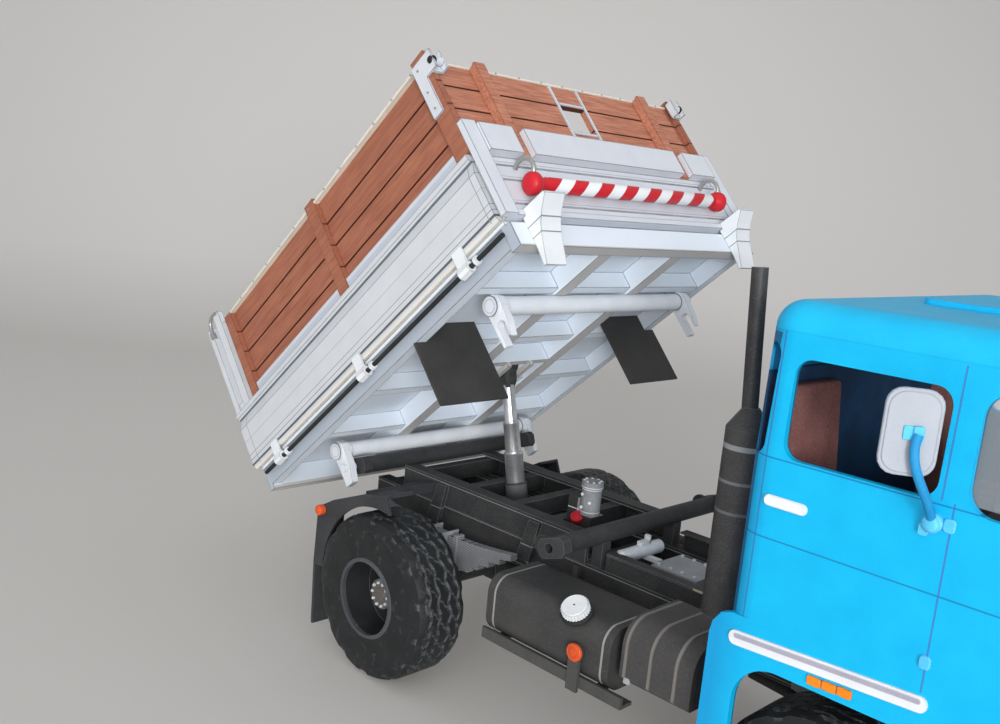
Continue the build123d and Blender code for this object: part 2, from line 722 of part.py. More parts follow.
# Bumper with its step wells, grille panel and headlamps
bumper_foot = 25.0
bumper_top = 40.6
bumper_rear = wheelbase + 27.0
with BuildPart(truck) as front_bumper:
    with BuildSketch(truck.offset(bumper_foot)) as bumper_plan:
        with BuildLine():
            bumper_line = FilletPolyline(
                (bumper_rear, -cab_half), (front_reach - 0.8, -cab_half), (front_reach - 0.8, cab_half),
                (bumper_rear, cab_half), radius=7.0,
            )
            offset(bumper_line, amount=1.6, side=Side.LEFT)
        make_face()
    extrude(amount=bumper_top - bumper_foot)
    for side in (-1, 1):
        slab(
            frame_front + 0.1, front_reach - 0.8, side * (rail_outer - 3.0), side * rail_outer,
            rail_top - rail_depth + 1.0, rail_top - 1.0,
        )
save(front_bumper, "front_bumper")

grille_slats = 6
grille_half = 24.0
grille_foot = 47.0
slat_pitch = 5.0
slat_height = 2.6
lamp_spread = 37.0
lamp_height = 33.5
with BuildPart(truck) as grille:
    for row in range(grille_slats):
        z = grille_foot + 1.0 + row * slat_pitch
        slab(cab_front + 0.05, cab_front + 1.2, -grille_half, grille_half, z, z + slat_height)
    for y in (-grille_half, 0.0, grille_half):
        slab(
            cab_front + 0.05, cab_front + 0.9, y - 1.2, y + 1.2,
            grille_foot, grille_foot + 2.0 + grille_slats * slat_pitch - slat_pitch + slat_height,
        )
save(grille, "grille")

with BuildPart(truck) as headlamps:
    for side in (-1, 1):
        with BuildSketch(cross_view(truck, front_reach - 0.8 + 0.05)):
            with Locations((side * lamp_spread, lamp_height)):
                Circle(4.4)
        extrude(amount=0.75)
save(headlamps, "headlamps")

# Mirrors: rounded plates on bent round arms from the door's front edge
mirror_x = window_front - 3.3
mirror_y = 52.9
mirror_z = 97.2
mirror_width = 10.2
mirror_height = 12.2
mirror_foot_z = 83.5
arm_radius = 0.75
with BuildPart(truck) as mirrors:
    for side in (-1, 1):
        with BuildSketch(cross_view(truck, mirror_x - 0.7)):
            with Locations((side * mirror_y, mirror_z)):
                RectangleRounded(mirror_width, mirror_height, 2.6)
        extrude(amount=1.4)
        arm_points = (
            (window_front + 0.2, side * (cab_half + 0.5), mirror_foot_z),
            (window_front - 0.4, side * (cab_half + 3.6), mirror_foot_z + 0.8),
            (mirror_x + 0.6, side * mirror_y, mirror_z - 1.0),
        )
        for start, end in zip(arm_points, arm_points[1:]):
            run = Vector(end) - Vector(start)
            with BuildSketch(Plane(origin=truck.from_local_coords(Vector(start)), z_dir=run)):
                RegularPolygon(arm_radius, 6)
            extrude(amount=run.length + 0.5)
        slab(
            window_front - 1.4, window_front + 1.8, side * (cab_half + 0.02), side * (cab_half + 0.8),
            mirror_foot_z - 2.0, mirror_foot_z + 2.0,
        )
save(mirrors, "mirrors")

# Windscreen: clear film inside the cab's skin, wrapped round both front corners
film = 0.4
with BuildPart(truck) as windscreen:
    outer = cab_plan(truck.offset(cab_belt), cab_skin, 0.0, 0.0)
    upper = cab_plan(truck.offset(cab_eaves), cab_skin, front_lean, side_lean)
    loft(sections=[outer, upper])
    outer = cab_plan(truck.offset(cab_belt), cab_skin + film, 0.0, 0.0)
    upper = cab_plan(truck.offset(cab_eaves), cab_skin + film, front_lean, side_lean)
    loft(sections=[outer, upper], mode=Mode.SUBTRACT)
    slab(cab_rear, screen_rear - 1.1, -cab_half, cab_half, cab_belt - 1.0, cab_eaves + 1.0, Mode.SUBTRACT)
save(windscreen, "windscreen")

# Wheels: deep dished rims and balloon tyres
bore_clearance = 0.08
rim_profile = (  # depth from the wheel's outer face, radius
    (0.9, rim_radius), (0.9, rim_radius - 0.9), (8.8, rim_radius - 0.9), (8.8, hub_radius),
    (5.4, hub_radius), (5.4, 0.0), (6.8, 0.0), (6.8, axle_radius + bore_clearance),
    (disc_depth, axle_radius + bore_clearance), (disc_depth, rim_radius - 0.9),
    (tyre_width - 0.9, rim_radius - 0.9), (tyre_width - 0.9, rim_radius),
)
tyre_bore = rim_radius + 0.1
tyre_profile = (  # depth from the outer face, radius
    (0.0, tyre_radius - shoulder), (0.3 * shoulder, tyre_radius - 0.36 * shoulder), (shoulder, tyre_radius),
    (tyre_width - shoulder, tyre_radius), (tyre_width - 0.3 * shoulder, tyre_radius - 0.36 * shoulder),
    (tyre_width, tyre_radius - shoulder),
)
wheel_table = (
    ("rear_right", 0.0, -1, rear_face),
    ("rear_left", 0.0, 1, rear_face),
    ("front_right", wheelbase, -1, front_face),
    ("front_left", wheelbase, 1, front_face),
)
for name, x, side, face in wheel_table:
    wheel_axis = Axis(truck.from_local_coords(Vector(x, 0, tyre_radius)), (0, 1, 0))
    with BuildPart(truck) as rim:
        with BuildSketch(cross_view(truck, x)):
            with BuildLine():
                Polyline(*[(side * (face - depth), tyre_radius + radius) for depth, radius in rim_profile], close=True)
            make_face()
        revolve(axis=wheel_axis)
    save(rim, f"rim_{name}")
    with BuildPart(truck) as tyre:
        for depth, radius in tyre_profile:
            with BuildSketch(side_view(truck, side * (face - depth))):
                with Locations((x, tyre_radius)):
                    RegularPolygon(radius, tyre_sides, major_radius=False, rotation=180.0 / tyre_sides)
        loft(ruled=True)
        bar_across(x, tyre_radius, tyre_bore, side * (face + 1.0), side * (face - tyre_width - 1.0), Mode.SUBTRACT)
    save(tyre, f"tyre_{name}")

# Steering knuckles: a kingpin barrel between the yoke's ears, with the stub axle
for name, side in (("right", -1), ("left", 1)):
    with BuildPart(truck) as knuckle:
        with Locations((wheelbase, side * kingpin_y, tyre_radius)):
            Cylinder(kingpin_radius, kingpin_height)
        bar_across(wheelbase, tyre_radius, axle_radius, side * kingpin_y, side * (front_face - stub_end))
        bar_across(wheelbase, tyre_radius, 3.6, side * (kingpin_y + 1.8), side * (front_face - disc_depth - 0.3))
    save(knuckle, f"steering_knuckle_{name}")

# Tipping cylinder: barrel on a trunnion, and three stages drawn out to the bed
eye_u = 36.6
eye_w = 8.6
ram_foot = truck.from_local_coords(Vector(ram_foot_x, 0, ram_foot_z))
ram_eye = bed.from_local_coords(Vector(eye_u, 0, eye_w))
ram_line = ram_eye - ram_foot
ram_length = ram_line.length
lowered_length = ((eye_u - pivot_behind_axle - ram_foot_x) ** 2 + (pivot_height + eye_w - ram_foot_z) ** 2) ** 0.5
stage_stroke = (ram_length - lowered_length) / 3
ram = Plane(origin=ram_foot, x_dir=(0, 1, 0), z_dir=ram_line.normalized())
barrel_low = -6.0
barrel_high = 11.0
stage_table = (  # outer radius, bore radius, low and high ends when drawn in
    ("ram_stage_1", 2.10, 1.80, -4.6, 12.0),
    ("ram_stage_2", 1.72, 1.42, -4.2, 13.0),
)
with BuildPart(ram) as ram_barrel:
    with Locations((0, 0, (barrel_low + barrel_high) / 2)):
        Cylinder(2.6, barrel_high - barrel_low)
    with Locations((0, 0, barrel_low + 1.0)):
        Cylinder(
            2.10 + ram_clearance, barrel_high - barrel_low,
            align=(Align.CENTER, Align.CENTER, Align.MIN), mode=Mode.SUBTRACT,
        )
    for side in (-1, 1):
        with Locations(Location((side * 5.2, 0, 0), (0, 90, 0))):
            Cylinder(trunnion_radius, 5.6)
save(ram_barrel, "ram_barrel")
for number, (name, outer_radius, bore_radius, low, high) in enumerate(stage_table, start=1):
    drawn = number * stage_stroke
    with BuildPart(ram) as stage:
        with Locations((0, 0, (low + high) / 2 + drawn)):
            Cylinder(outer_radius, high - low)
            Cylinder(bore_radius, high - low, mode=Mode.SUBTRACT)
    save(stage, name)
rod_radius = 1.34
rod_low = -3.8
head_radius = 2.2
with BuildPart(ram) as ram_rod:
    rod_from = rod_low + 3 * stage_stroke
    with Locations((0, 0, (rod_from + ram_length) / 2)):
        Cylinder(rod_radius, ram_length - rod_from)
    with Locations((0, 0, ram_length - 2.4)):
        Cylinder(2.3, 2.4)
    with Locations(Location((0, 0, ram_length), (0, 90, 0))):
        Cylinder(head_radius, 5.0)
save(ram_rod, "ram_rod")

# Bed floor: plate on two long beams, cross-members and edge sills, notched for the tubes
beam_inner = 12.0
beam_outer = 16.2
beam_foot = 6.9
plate_foot = floor_top - floor_plate
side_sill_inner = 42.6
side_sill_outer = 45.6
side_sill_foot = 7.5
member_stations = (5.0, 28.5, 52.0, 75.5)
member_half = 1.3
tube_stations = (0.0, front_socket_ahead + pivot_behind_axle)
bed_inner = bed_half - wall
with BuildPart(bed) as bed_floor:
    slab(bed_rear + 1.6, bed_front - 1.5, -bed_inner, bed_inner, plate_foot, floor_top)
    slab(bed_rear + 1.6, bed_rear + 3.6, -side_sill_outer, side_sill_outer, side_sill_foot - 1.5, plate_foot)
    slab(bed_front - 3.0, bed_front, -bed_inner, bed_inner, sill_foot, plate_foot)
    for side in (-1, 1):
        slab(
            bed_rear + 2.0, bed_front - 2.0, side * side_sill_inner, side * side_sill_outer,
            side_sill_foot, plate_foot,
        )
        slab(bed_rear + 2.0, bed_front - 2.0, side * beam_inner, side * beam_outer, beam_foot, plate_foot)
    for u in member_stations:
        slab(
            u - member_half, u + member_half, -side_sill_inner, side_sill_inner,
            bed_tube_rise + bed_tube_radius + 0.45, plate_foot,
        )
    for side in (-1, 1):
        slab(eye_u - 3.4, eye_u + 5.0, side * 3.6, side * 5.0, eye_w - 3.0, plate_foot)
    slab(eye_u + 3.4, eye_u + 5.0, -beam_inner, beam_inner, beam_foot, plate_foot)
    for u in tube_stations:
        bar_across(u, bed_tube_rise, bed_tube_radius + 0.05, -30.0, 30.0, Mode.SUBTRACT)
save(bed_floor, "bed_floor")

# White tubes under the bed with straps: pins at the rear, slotted forks at the front
fork_y = 36.0
fork_half = 1.0
fork_slot = 1.2
fork_foot = -4.8
pin_radius = 1.12
with BuildPart(bed) as bed_tubes:
    for u in tube_stations:
        bar_across(u, bed_tube_rise, bed_tube_radius, -tube_half, tube_half)
        for side in (-1, 1):
            with BuildSketch(side_view(bed, side * fork_y)):
                with Locations((u, bed_tube_rise)):
                    RegularPolygon(bed_tube_radius + 0.4, 8, major_radius=False, rotation=22.5)
                with BuildLine():
                    Polyline(
                        (u - 2.6, bed_tube_rise), (u - 2.4, fork_foot), (u + 0.8, fork_foot), (u + 2.3, 0.0),
                        (u + 2.5, bed_tube_rise), close=True,
                    )
                make_face()
            extrude(amount=fork_half, both=True)
    front_u = tube_stations[1]
    slab(front_u - fork_slot, front_u + fork_slot, -tube_half, tube_half, fork_foot - 1.0, 0.0, Mode.SUBTRACT)
    bar_across(front_u, 0.0, fork_slot, -tube_half, tube_half, Mode.SUBTRACT)
    for side in (-1, 1):
        bar_across(0.0, 0.0, pin_radius, side * (socket_half - 0.8), side * (fork_y + fork_half + 0.8))
save(bed_tubes, "bed_tubes")

# Front wall of the bed: ribbed metal sheet, foot band, three box ledges and corner posts
ledge_foot = 30.4
batten_y = 31.0
batten_half = 1.7
ledge_gap = batten_half + 0.2
ledge_table = (  # y from and to
    (-43.4, -batten_y - ledge_gap), (-batten_y + ledge_gap, batten_y - ledge_gap), (batten_y + ledge_gap, 43.4)
)
rib_heights = (17.5, 24.0, 28.0)
sheet_in = bed_front - 1.4
with BuildPart(bed) as front_wall:
    slab(sheet_in, bed_front, -bed_inner, bed_inner, floor_top, front_top)
    slab(bed_front, bed_front + 1.0, -bed_inner + 2.4, bed_inner - 2.4, floor_top, floor_top + 1.6)
    for w in rib_heights:
        slab(bed_front, bed_front + 0.4, -bed_inner + 2.4, bed_inner - 2.4, w, w + 0.8)
    for side in (-1, 1):
        slab(
            sheet_in - 0.1, bed_front - 0.2, side * (board_half - 0.15), side * bed_half,
            side_top, front_top + 1.0, Mode.SUBTRACT,
        )
    for y0, y1 in ledge_table:
        slab(bed_front, bed_front + 2.4, y0, y1, ledge_foot, front_top)
        slab(bed_front + 0.6, bed_front + 1.8, y0 + 0.7, y1 - 0.7, ledge_foot + 0.7, front_top + 1.0, Mode.SUBTRACT)
    for side in (-1, 1):
        slab(bed_front - 0.2, bed_front + 1.6, side * (bed_half - 4.0), side * bed_half, floor_top, front_top + 1.0)
save(front_wall, "front_wall")

# Front boards: four planks on two battens, with the framed peep window
plank_count = 4
plank_gap = 0.35
groove_depth = 0.35
peep_half = 4.6
peep_foot = 43.4
peep_head = 51.7
front_boards_half = board_half - board - 0.1


def plank_grooves(count, top, foot):
    """Heights of the gaps between planks."""
    return [foot + (top - foot) * row / count for row in range(1, count)]


with BuildPart(bed) as front_boards:
    slab(sheet_in - board, sheet_in - 0.05, -front_boards_half, front_boards_half, side_top, boards_top)
    for w in plank_grooves(plank_count, boards_top, side_top):
        for u in (sheet_in - board, sheet_in - 0.05):
            slab(
                u - groove_depth, u + groove_depth, -front_boards_half, front_boards_half,
                w - plank_gap / 2, w + plank_gap / 2, Mode.SUBTRACT,
            )
    slab(sheet_in - 3.0, sheet_in + 1.0, -peep_half, peep_half, peep_foot, peep_head, Mode.SUBTRACT)
    for side in (-1, 1):
        slab(
            sheet_in - 0.1, bed_front + 0.1, side * (batten_y - batten_half), side * (batten_y + batten_half),
            front_top + 0.05, boards_top,
        )
        slab(
            bed_front + 0.05, bed_front + 0.9, side * (batten_y - batten_half), side * (batten_y + batten_half),
            ledge_foot, boards_top + 0.4,
        )
save(front_boards, "front_boards")

# Drop sides: folded metal with a slanting shoulder and a ledge at the boards' foot
side_profile = (  # y outwards, w
    (bed_inner, floor_top + 0.05), (bed_half - 0.8, floor_top + 0.05), (bed_half, floor_top + 1.2),
    (bed_half, 26.6), (bed_half - 1.1, 29.6), (bed_half, 30.2), (bed_half, side_top), (bed_half - 0.6, side_top),
    (bed_half - 0.6, side_top + 2.8), (board_half + 0.05, side_top + 2.8), (board_half + 0.05, side_top),
    (bed_inner - 1.8, side_top), (bed_inner - 1.8, 30.6), (bed_inner, 29.4),
)
batten_table = (  # u from and to, top
    (-15.0, -11.4, boards_top + 0.3), (36.9, 41.1, boards_top + 1.4), (90.0, 94.9, post_top - 0.3)
)
for name, side in (("right", -1), ("left", 1)):
    with BuildPart(bed) as drop_side:
        with BuildSketch(cross_view(bed, bed_rear)):
            with BuildLine():
                Polyline(*[(side * y, w) for y, w in side_profile], close=True)
            make_face()
        extrude(amount=bed_front - bed_rear - 0.3)
        for u0, u1, top in batten_table:
            slab(u0 - 0.1, u1 + 0.1, side * (board_half - 0.2), side * bed_half, side_top, side_top + 4.0, Mode.SUBTRACT)
        slab(
            bed_rear - 1.0, batten_table[0][0], side * (board_half - 0.2), side * bed_half,
            side_top, side_top + 4.0, Mode.SUBTRACT,
        )
        slab(
            bed_front - 1.6, bed_front + 1.0, side * (bed_inner - 3.0), side * (bed_half + 1.0),
            floor_top - 1.0, side_top + 4.0, Mode.SUBTRACT,
        )
        slab(
            bed_rear - 1.0, bed_rear + 2.5, side * (bed_inner - 2.0), side * bed_inner,
            floor_top, side_top + 1.0, Mode.SUBTRACT,
        )
    save(drop_side, f"drop_side_{name}")
    with BuildPart(bed) as boards:
        slab(
            batten_table[0][0], sheet_in - 0.1, side * (board_half - board), side * board_half,
            side_top + 0.05, boards_top,
        )
        for w in plank_grooves(plank_count, boards_top, side_top):
            for y in (board_half - board, board_half):
                slab(
                    batten_table[0][0], sheet_in, side * (y - groove_depth), side * (y + groove_depth),
                    w - plank_gap / 2, w + plank_gap / 2, Mode.SUBTRACT,
                )
        for u0, u1, top in batten_table:
            slab(u0, u1, side * (board_half - 0.1), side * (board_half + 1.6), side_top + 0.05, top)
    save(boards, f"side_boards_{name}")

# Tailgate: metal lower half and boards above, between the rear posts
with BuildPart(bed) as tailgate:
    slab(bed_rear, bed_rear + 1.4, -bed_inner + 0.1, bed_inner - 0.1, floor_top + 0.05, side_top)
    slab(bed_rear - 0.6, bed_rear, -bed_inner + 0.1, bed_inner - 0.1, side_top - 2.0, side_top)
    slab(bed_rear - 0.6, bed_rear, -bed_inner + 0.1, bed_inner - 0.1, floor_top + 0.05, floor_top + 2.0)
save(tailgate, "tailgate")
with BuildPart(bed) as tail_boards:
    slab(bed_rear, bed_rear + board, -board_half + 4.0, board_half - 4.0, side_top + 0.05, boards_top)
    for w in plank_grooves(plank_count, boards_top, side_top):
        for u in (bed_rear, bed_rear + board):
            slab(
                u - groove_depth, u + groove_depth, -board_half + 4.0, board_half - 4.0,
                w - plank_gap / 2, w + plank_gap / 2, Mode.SUBTRACT,
            )
    for y in (-batten_y, batten_y):
        slab(bed_rear - 1.4, bed_rear + 0.1, y - batten_half, y + batten_half, side_top + 0.05, boards_top + 1.0)
save(tail_boards, "tail_boards")

# Corner posts: plates with ears and ball pins at the front, channels at the rear
plate_thick = 0.55
plate_foot_w = side_top + 12.4
ear_front = bed_front + 2.0
ear_foot = 53.5
ear_top = 58.4
ear_pin = 1.0
post_face = board_half + 1.65
with BuildPart(bed) as corner_posts:
    for side in (-1, 1):
        slab(
            batten_table[2][0], batten_table[2][0] + 3.4, side * post_face, side * (post_face + plate_thick),
            plate_foot_w, ear_top,
        )
        slab(batten_table[2][0], ear_front, side * post_face, side * (post_face + plate_thick), ear_foot, ear_top)
        slab(
            batten_table[2][1] + 0.05, batten_table[2][1] + 0.05 + plate_thick,
            side * (board_half - 1.6), side * (post_face + plate_thick), ear_foot, ear_top,
        )
        slab(
            batten_table[2][1] + 0.05, ear_front, side * (board_half - 1.6), side * (board_half - 1.6 + plate_thick),
            ear_foot, ear_top,
        )
        bar_across(
            ear_front - ear_pin + 0.05, (ear_foot + ear_top) / 2, ear_pin,
            side * (board_half - 1.5 + plate_thick / 2), side * (post_face + plate_thick / 2),
        )
        slab(
            bed_rear + 5.4, bed_rear + 8.8, side * (board_half - 0.2), side * (board_half + 1.4),
            side_top + 0.05, post_top + 2.0,
        )
        slab(bed_rear, bed_rear + 2.4, side * (board_half - 3.9), side * (board_half + 1.4), side_top + 0.05, post_top)
        slab(
            bed_rear, bed_rear + 8.8, side * (board_half - 0.2), side * (board_half + 1.0),
            side_top + 0.05, side_top + 2.4,
        )
save(corner_posts, "corner_posts")

# Prop bar with ball ends, hung in two hooks on the front wall
prop_u = 98.0
prop_w = 21.2
prop_half = 36.0
prop_radius = 1.4
ball_radius = 2.4
knob_half = 1.8
with BuildPart(bed) as prop_bar:
    bar_across(prop_u, prop_w, prop_radius, -prop_half, prop_half)
    for side in (-1, 1):
        bar_across(prop_u, prop_w, ball_radius, side * (prop_half - knob_half), side * (prop_half + knob_half))
save(prop_bar, "prop_bar")
hook_half = 0.6
with BuildPart(bed) as prop_hooks:
    for side in (-1, 1):
        with BuildSketch(side_view(bed, side * prop_half)):
            with BuildLine():
                Polyline(
                    (bed_front + 0.45, prop_w + 4.8), (prop_u - 0.4, prop_w + 4.8),
                    (prop_u - 0.4, prop_w + ball_radius + 0.06), (prop_u + 0.8, prop_w + ball_radius + 0.06),
                    (prop_u + 0.8, prop_w + 5.4), (prop_u + 0.2, prop_w + 6.0), (bed_front + 0.45, prop_w + 6.0),
                    close=True,
                )
            make_face()
        extrude(amount=hook_half, both=True)
save(prop_hooks, "prop_hooks")

# Guide brackets under the front wall: a bowed strip on a gusset, pointed at its foot
guide_y = 38.0
guide_half = 3.2
with BuildPart(bed) as guide_brackets:
    for side in (-1, 1):
        with BuildSketch(side_view(bed, side * guide_y)):
            with BuildLine():
                Polyline(
                    (bed_front + 1.05, 15.2), (bed_front + 8.0, 15.0), (bed_front + 8.3, 14.4),
                    (bed_front + 5.6, 12.0), (bed_front + 3.9, 9.9), (bed_front + 2.7, 7.6),
                    (bed_front + 0.4, 1.4), (bed_front - 0.4, 1.7), (bed_front + 0.05, 6.5),
                    (bed_front + 0.05, 13.6), (bed_front + 1.05, 13.6), close=True,
                )
            make_face()
        extrude(amount=guide_half, both=True)
save(guide_brackets, "guide_brackets")

# Hinge tabs with knuckles along the drop sides' feet, and the black locking rods behind them
tab_stations = (-12.0, 34.4, 79.6)
rod_y = 47.2
rod_w = 10.6
knuckle_radius = 1.5
rod_radius_across = 0.6
with BuildPart(bed) as hinge_tabs:
    for side in (-1, 1):
        for u in tab_stations:
            slab(u - 1.8, u + 1.8, side * (bed_half + 0.05), side * (bed_half + 0.5), rod_w + 1.0, 16.0)
            with BuildSketch(cross_view(bed, u - 1.8)):
                with Locations((side * rod_y, rod_w)):
                    RegularPolygon(knuckle_radius, 8)
                    RegularPolygon(rod_radius_across + 0.06, 8, major_radius=False, mode=Mode.SUBTRACT)
            extrude(amount=3.6)
save(hinge_tabs, "hinge_tabs")
with BuildPart(bed) as lock_rods:
    for side in (-1, 1):
        with BuildSketch(cross_view(bed, bed_rear + 5.0)):
            with Locations((side * rod_y, rod_w)):
                RegularPolygon(rod_radius_across, 8)
        extrude(amount=bed_front - bed_rear - 7.0)
save(lock_rods, "lock_rods")

# Flaps that hang under the bed ahead of the rear wheels, cut back below the side sill
flap_u = 54.0
flap_thick = 0.6
flap_inner = 24.4
flap_outer = 46.4
flap_foot = -9.5
with BuildPart(bed) as bed_flaps:
    for side in (-1, 1):
        slab(
            flap_u, flap_u + flap_thick, side * flap_inner, side * (side_sill_inner - 0.1),
            flap_foot, plate_foot - 0.1,
        )
        slab(
            flap_u, flap_u + flap_thick, side * (side_sill_inner - 0.2), side * flap_outer,
            flap_foot, side_sill_foot - 0.1,
        )
save(bed_flaps, "bed_flaps")
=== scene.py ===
"""Card scale model of a three-way tipper truck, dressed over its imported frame. Metres, X forward, Z up."""
import bpy
import bmesh
import json
import math
import numpy as np
from mathutils import Matrix, Vector


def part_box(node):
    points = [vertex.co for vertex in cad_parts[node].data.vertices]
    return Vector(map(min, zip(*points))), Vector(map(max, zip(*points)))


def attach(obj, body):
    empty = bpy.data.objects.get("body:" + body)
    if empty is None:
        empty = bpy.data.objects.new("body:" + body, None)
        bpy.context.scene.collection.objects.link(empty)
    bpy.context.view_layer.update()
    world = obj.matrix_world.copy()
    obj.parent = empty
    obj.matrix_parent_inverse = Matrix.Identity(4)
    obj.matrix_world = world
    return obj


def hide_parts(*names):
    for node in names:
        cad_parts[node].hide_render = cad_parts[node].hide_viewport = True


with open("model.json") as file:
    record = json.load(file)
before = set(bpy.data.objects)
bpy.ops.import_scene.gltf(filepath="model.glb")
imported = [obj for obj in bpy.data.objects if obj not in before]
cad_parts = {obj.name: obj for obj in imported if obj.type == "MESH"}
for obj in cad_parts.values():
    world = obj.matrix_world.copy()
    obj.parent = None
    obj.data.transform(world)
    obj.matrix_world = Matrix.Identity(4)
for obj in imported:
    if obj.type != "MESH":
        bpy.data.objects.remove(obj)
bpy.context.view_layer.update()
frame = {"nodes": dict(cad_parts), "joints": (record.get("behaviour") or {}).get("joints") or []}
nodes = frame["nodes"]
joints = {joint["name"]: joint for joint in frame["joints"]}
scene = bpy.context.scene

# The photograph's view, and the two sets of axes that the sizes below are read in, in millimetres:
# the truck's start on the floor under the rear axle, and the bed's at its rear pivot, tipped with it.
MM = 0.001
axle_rear = Vector(joints["rear_right_wheel_spin"]["pos_m"])
axle_front = Vector(joints["front_right_wheel_spin"]["pos_m"])
pivot = Vector(joints["bed_tip"]["pos_m"])
tip = math.radians(-joints["bed_tip"]["range_deg"][0])
truck = Matrix.Translation((axle_rear.x, 0, 0)) @ Matrix.Scale(MM, 4)
bed = Matrix.Translation(pivot) @ Matrix.Rotation(-tip, 4, "Y") @ Matrix.Scale(MM, 4)
wheelbase = (axle_front.x - axle_rear.x) / MM
both_sides = ((-1, "right"), (1, "left"))
photo_width = 1000
photo_height = 724
eye = truck @ Vector((190.28, -199.6, 126.83))
yaw = math.radians(134.38)
pitch = math.radians(-11.03)
roll = math.radians(5.26)
focal_pixels = 1009.97
centre_x = 500.65
centre_y = 386.11
forward = Vector((math.cos(yaw) * math.cos(pitch), math.sin(yaw) * math.cos(pitch), math.sin(pitch)))
level_right = forward.cross(Vector((0, 0, 1))).normalized()
level_up = level_right.cross(forward)
right = level_right * math.cos(roll) + level_up * math.sin(roll)
up = level_up * math.cos(roll) - level_right * math.sin(roll)
camera = bpy.data.objects.new("photo_camera", bpy.data.cameras.new("photo_camera"))
scene.collection.objects.link(camera)
camera.matrix_world = Matrix((
    (right.x, up.x, -forward.x, eye.x),
    (right.y, up.y, -forward.y, eye.y),
    (right.z, up.z, -forward.z, eye.z),
    (0, 0, 0, 1),
))
camera.data.sensor_width = 36.0
camera.data.lens = camera.data.sensor_width * focal_pixels / photo_width
camera.data.shift_x = (photo_width / 2 - centre_x) / photo_width
camera.data.shift_y = (centre_y - photo_height / 2) / photo_width
camera.data.clip_start = 0.01
scene.camera = camera
scene.view_settings.view_transform = "Standard"


# The table top that the model is shown on: pale board, rolled with matt paint, that runs up behind it in
# one smooth curve. A large soft lamp stands beside the camera, a low one lights the raised bed from
# below, and the room is even and pale.
def srgb(code):
    """Linear colour of a hex code: each channel divided by 255 and put through the inverse sRGB curve."""
    channels = np.array([int(code[i:i + 2], 16) for i in (1, 3, 5)]) / 255
    linear = np.where(channels <= 0.04045, channels / 12.92, ((channels + 0.055) / 1.055) ** 2.4)
    return (*linear.tolist(), 1.0)


def add(tree, kind, inputs=(), **settings):
    """Adds one shader node and gives its outputs. Settings are its options. Inputs are numbers, colours
    or other nodes' outputs, by socket name, or in the order of the sockets that the options leave in
    use."""
    node = tree.nodes.new("ShaderNode" + kind)
    for option, value in settings.items():
        setattr(node, option, value)
    if not isinstance(inputs, dict):
        in_use = [number for number, socket in enumerate(node.inputs) if socket.enabled]
        inputs = dict(zip(in_use, inputs))
    for socket, value in inputs.items():
        if isinstance(value, bpy.types.NodeSocket):
            tree.links.new(value, node.inputs[socket])
        else:
            node.inputs[socket].default_value = value
    return node.outputs


def seen_directly(tree):
    """1 for what the camera sees, also in metal or through glass, and 0 for what only lights the
    model."""
    ray = add(tree, "LightPath")
    either = add(tree, "Math", (ray["Is Camera Ray"], ray["Is Glossy Ray"]), operation="MAXIMUM")[0]
    return add(tree, "Math", (either, ray["Is Transmission Ray"]), operation="MAXIMUM")[0]


def new_finish(name, **sockets):
    """A material with its one shader, whose plain numbers are set on its own sockets."""
    material = bpy.data.materials.new(name)
    material.use_nodes = True
    tree = material.node_tree
    shader = tree.nodes["Principled BSDF"]
    for socket, value in sockets.items():
        shader.inputs[socket.replace("_", " ").title()].default_value = value
    shader.inputs["Specular IOR Level"].default_value = 0.3
    return material, tree, shader


floor_half = 4.0  # these four in metres
floor_rise = 0.9
rise_start = 0.42
rise_round = 0.35
away = Vector((forward.x, forward.y, 0)).normalized()
aside = Vector((away.y, -away.x, 0))
bend = np.linspace(0, math.pi / 2, 13)
run = np.concatenate(([-floor_half], rise_start + rise_round * np.sin(bend), [rise_start + rise_round]))
lift = np.concatenate(([0], rise_round * (1 - np.cos(bend)), [floor_rise]))
across = np.array([-floor_half, floor_half])
grid = run[:, None, None] * np.array(away) + across[None, :, None] * np.array(aside)
grid = grid + lift[:, None, None] * np.array((0, 0, 1.0))
count = len(run)
strips = [(2 * i, 2 * i + 1, 2 * i + 3, 2 * i + 2) for i in range(count - 1)]
sweep_mesh = bpy.data.meshes.new("table_top")
sweep_mesh.from_pydata(grid.reshape(-1, 3).tolist(), [], strips)
sweep_mesh.shade_smooth()
table_top = bpy.data.objects.new("table_top", sweep_mesh)
scene.collection.objects.link(table_top)
painted_board, tree, shader = new_finish("painted_board", roughness=0.75)
height = add(tree, "SeparateXYZ", (add(tree, "TexCoord")["Object"],))["Z"]
height = add(tree, "MapRange", {"Value": height, "From Max": 0.05})[0]
board = add(tree, "Mix", (height, srgb("#c1bfbb"), srgb("#d0cdca")), data_type="RGBA")[2]
tree.links.new(board, shader.inputs["Base Color"])
glow = add(tree, "Math", (seen_directly(tree), 0.08), operation="MULTIPLY")[0]
shader.inputs["Emission Color"].default_value = srgb("#dcd7cf")
tree.links.new(glow, shader.inputs["Emission Strength"])
sweep_mesh.materials.append(painted_board)

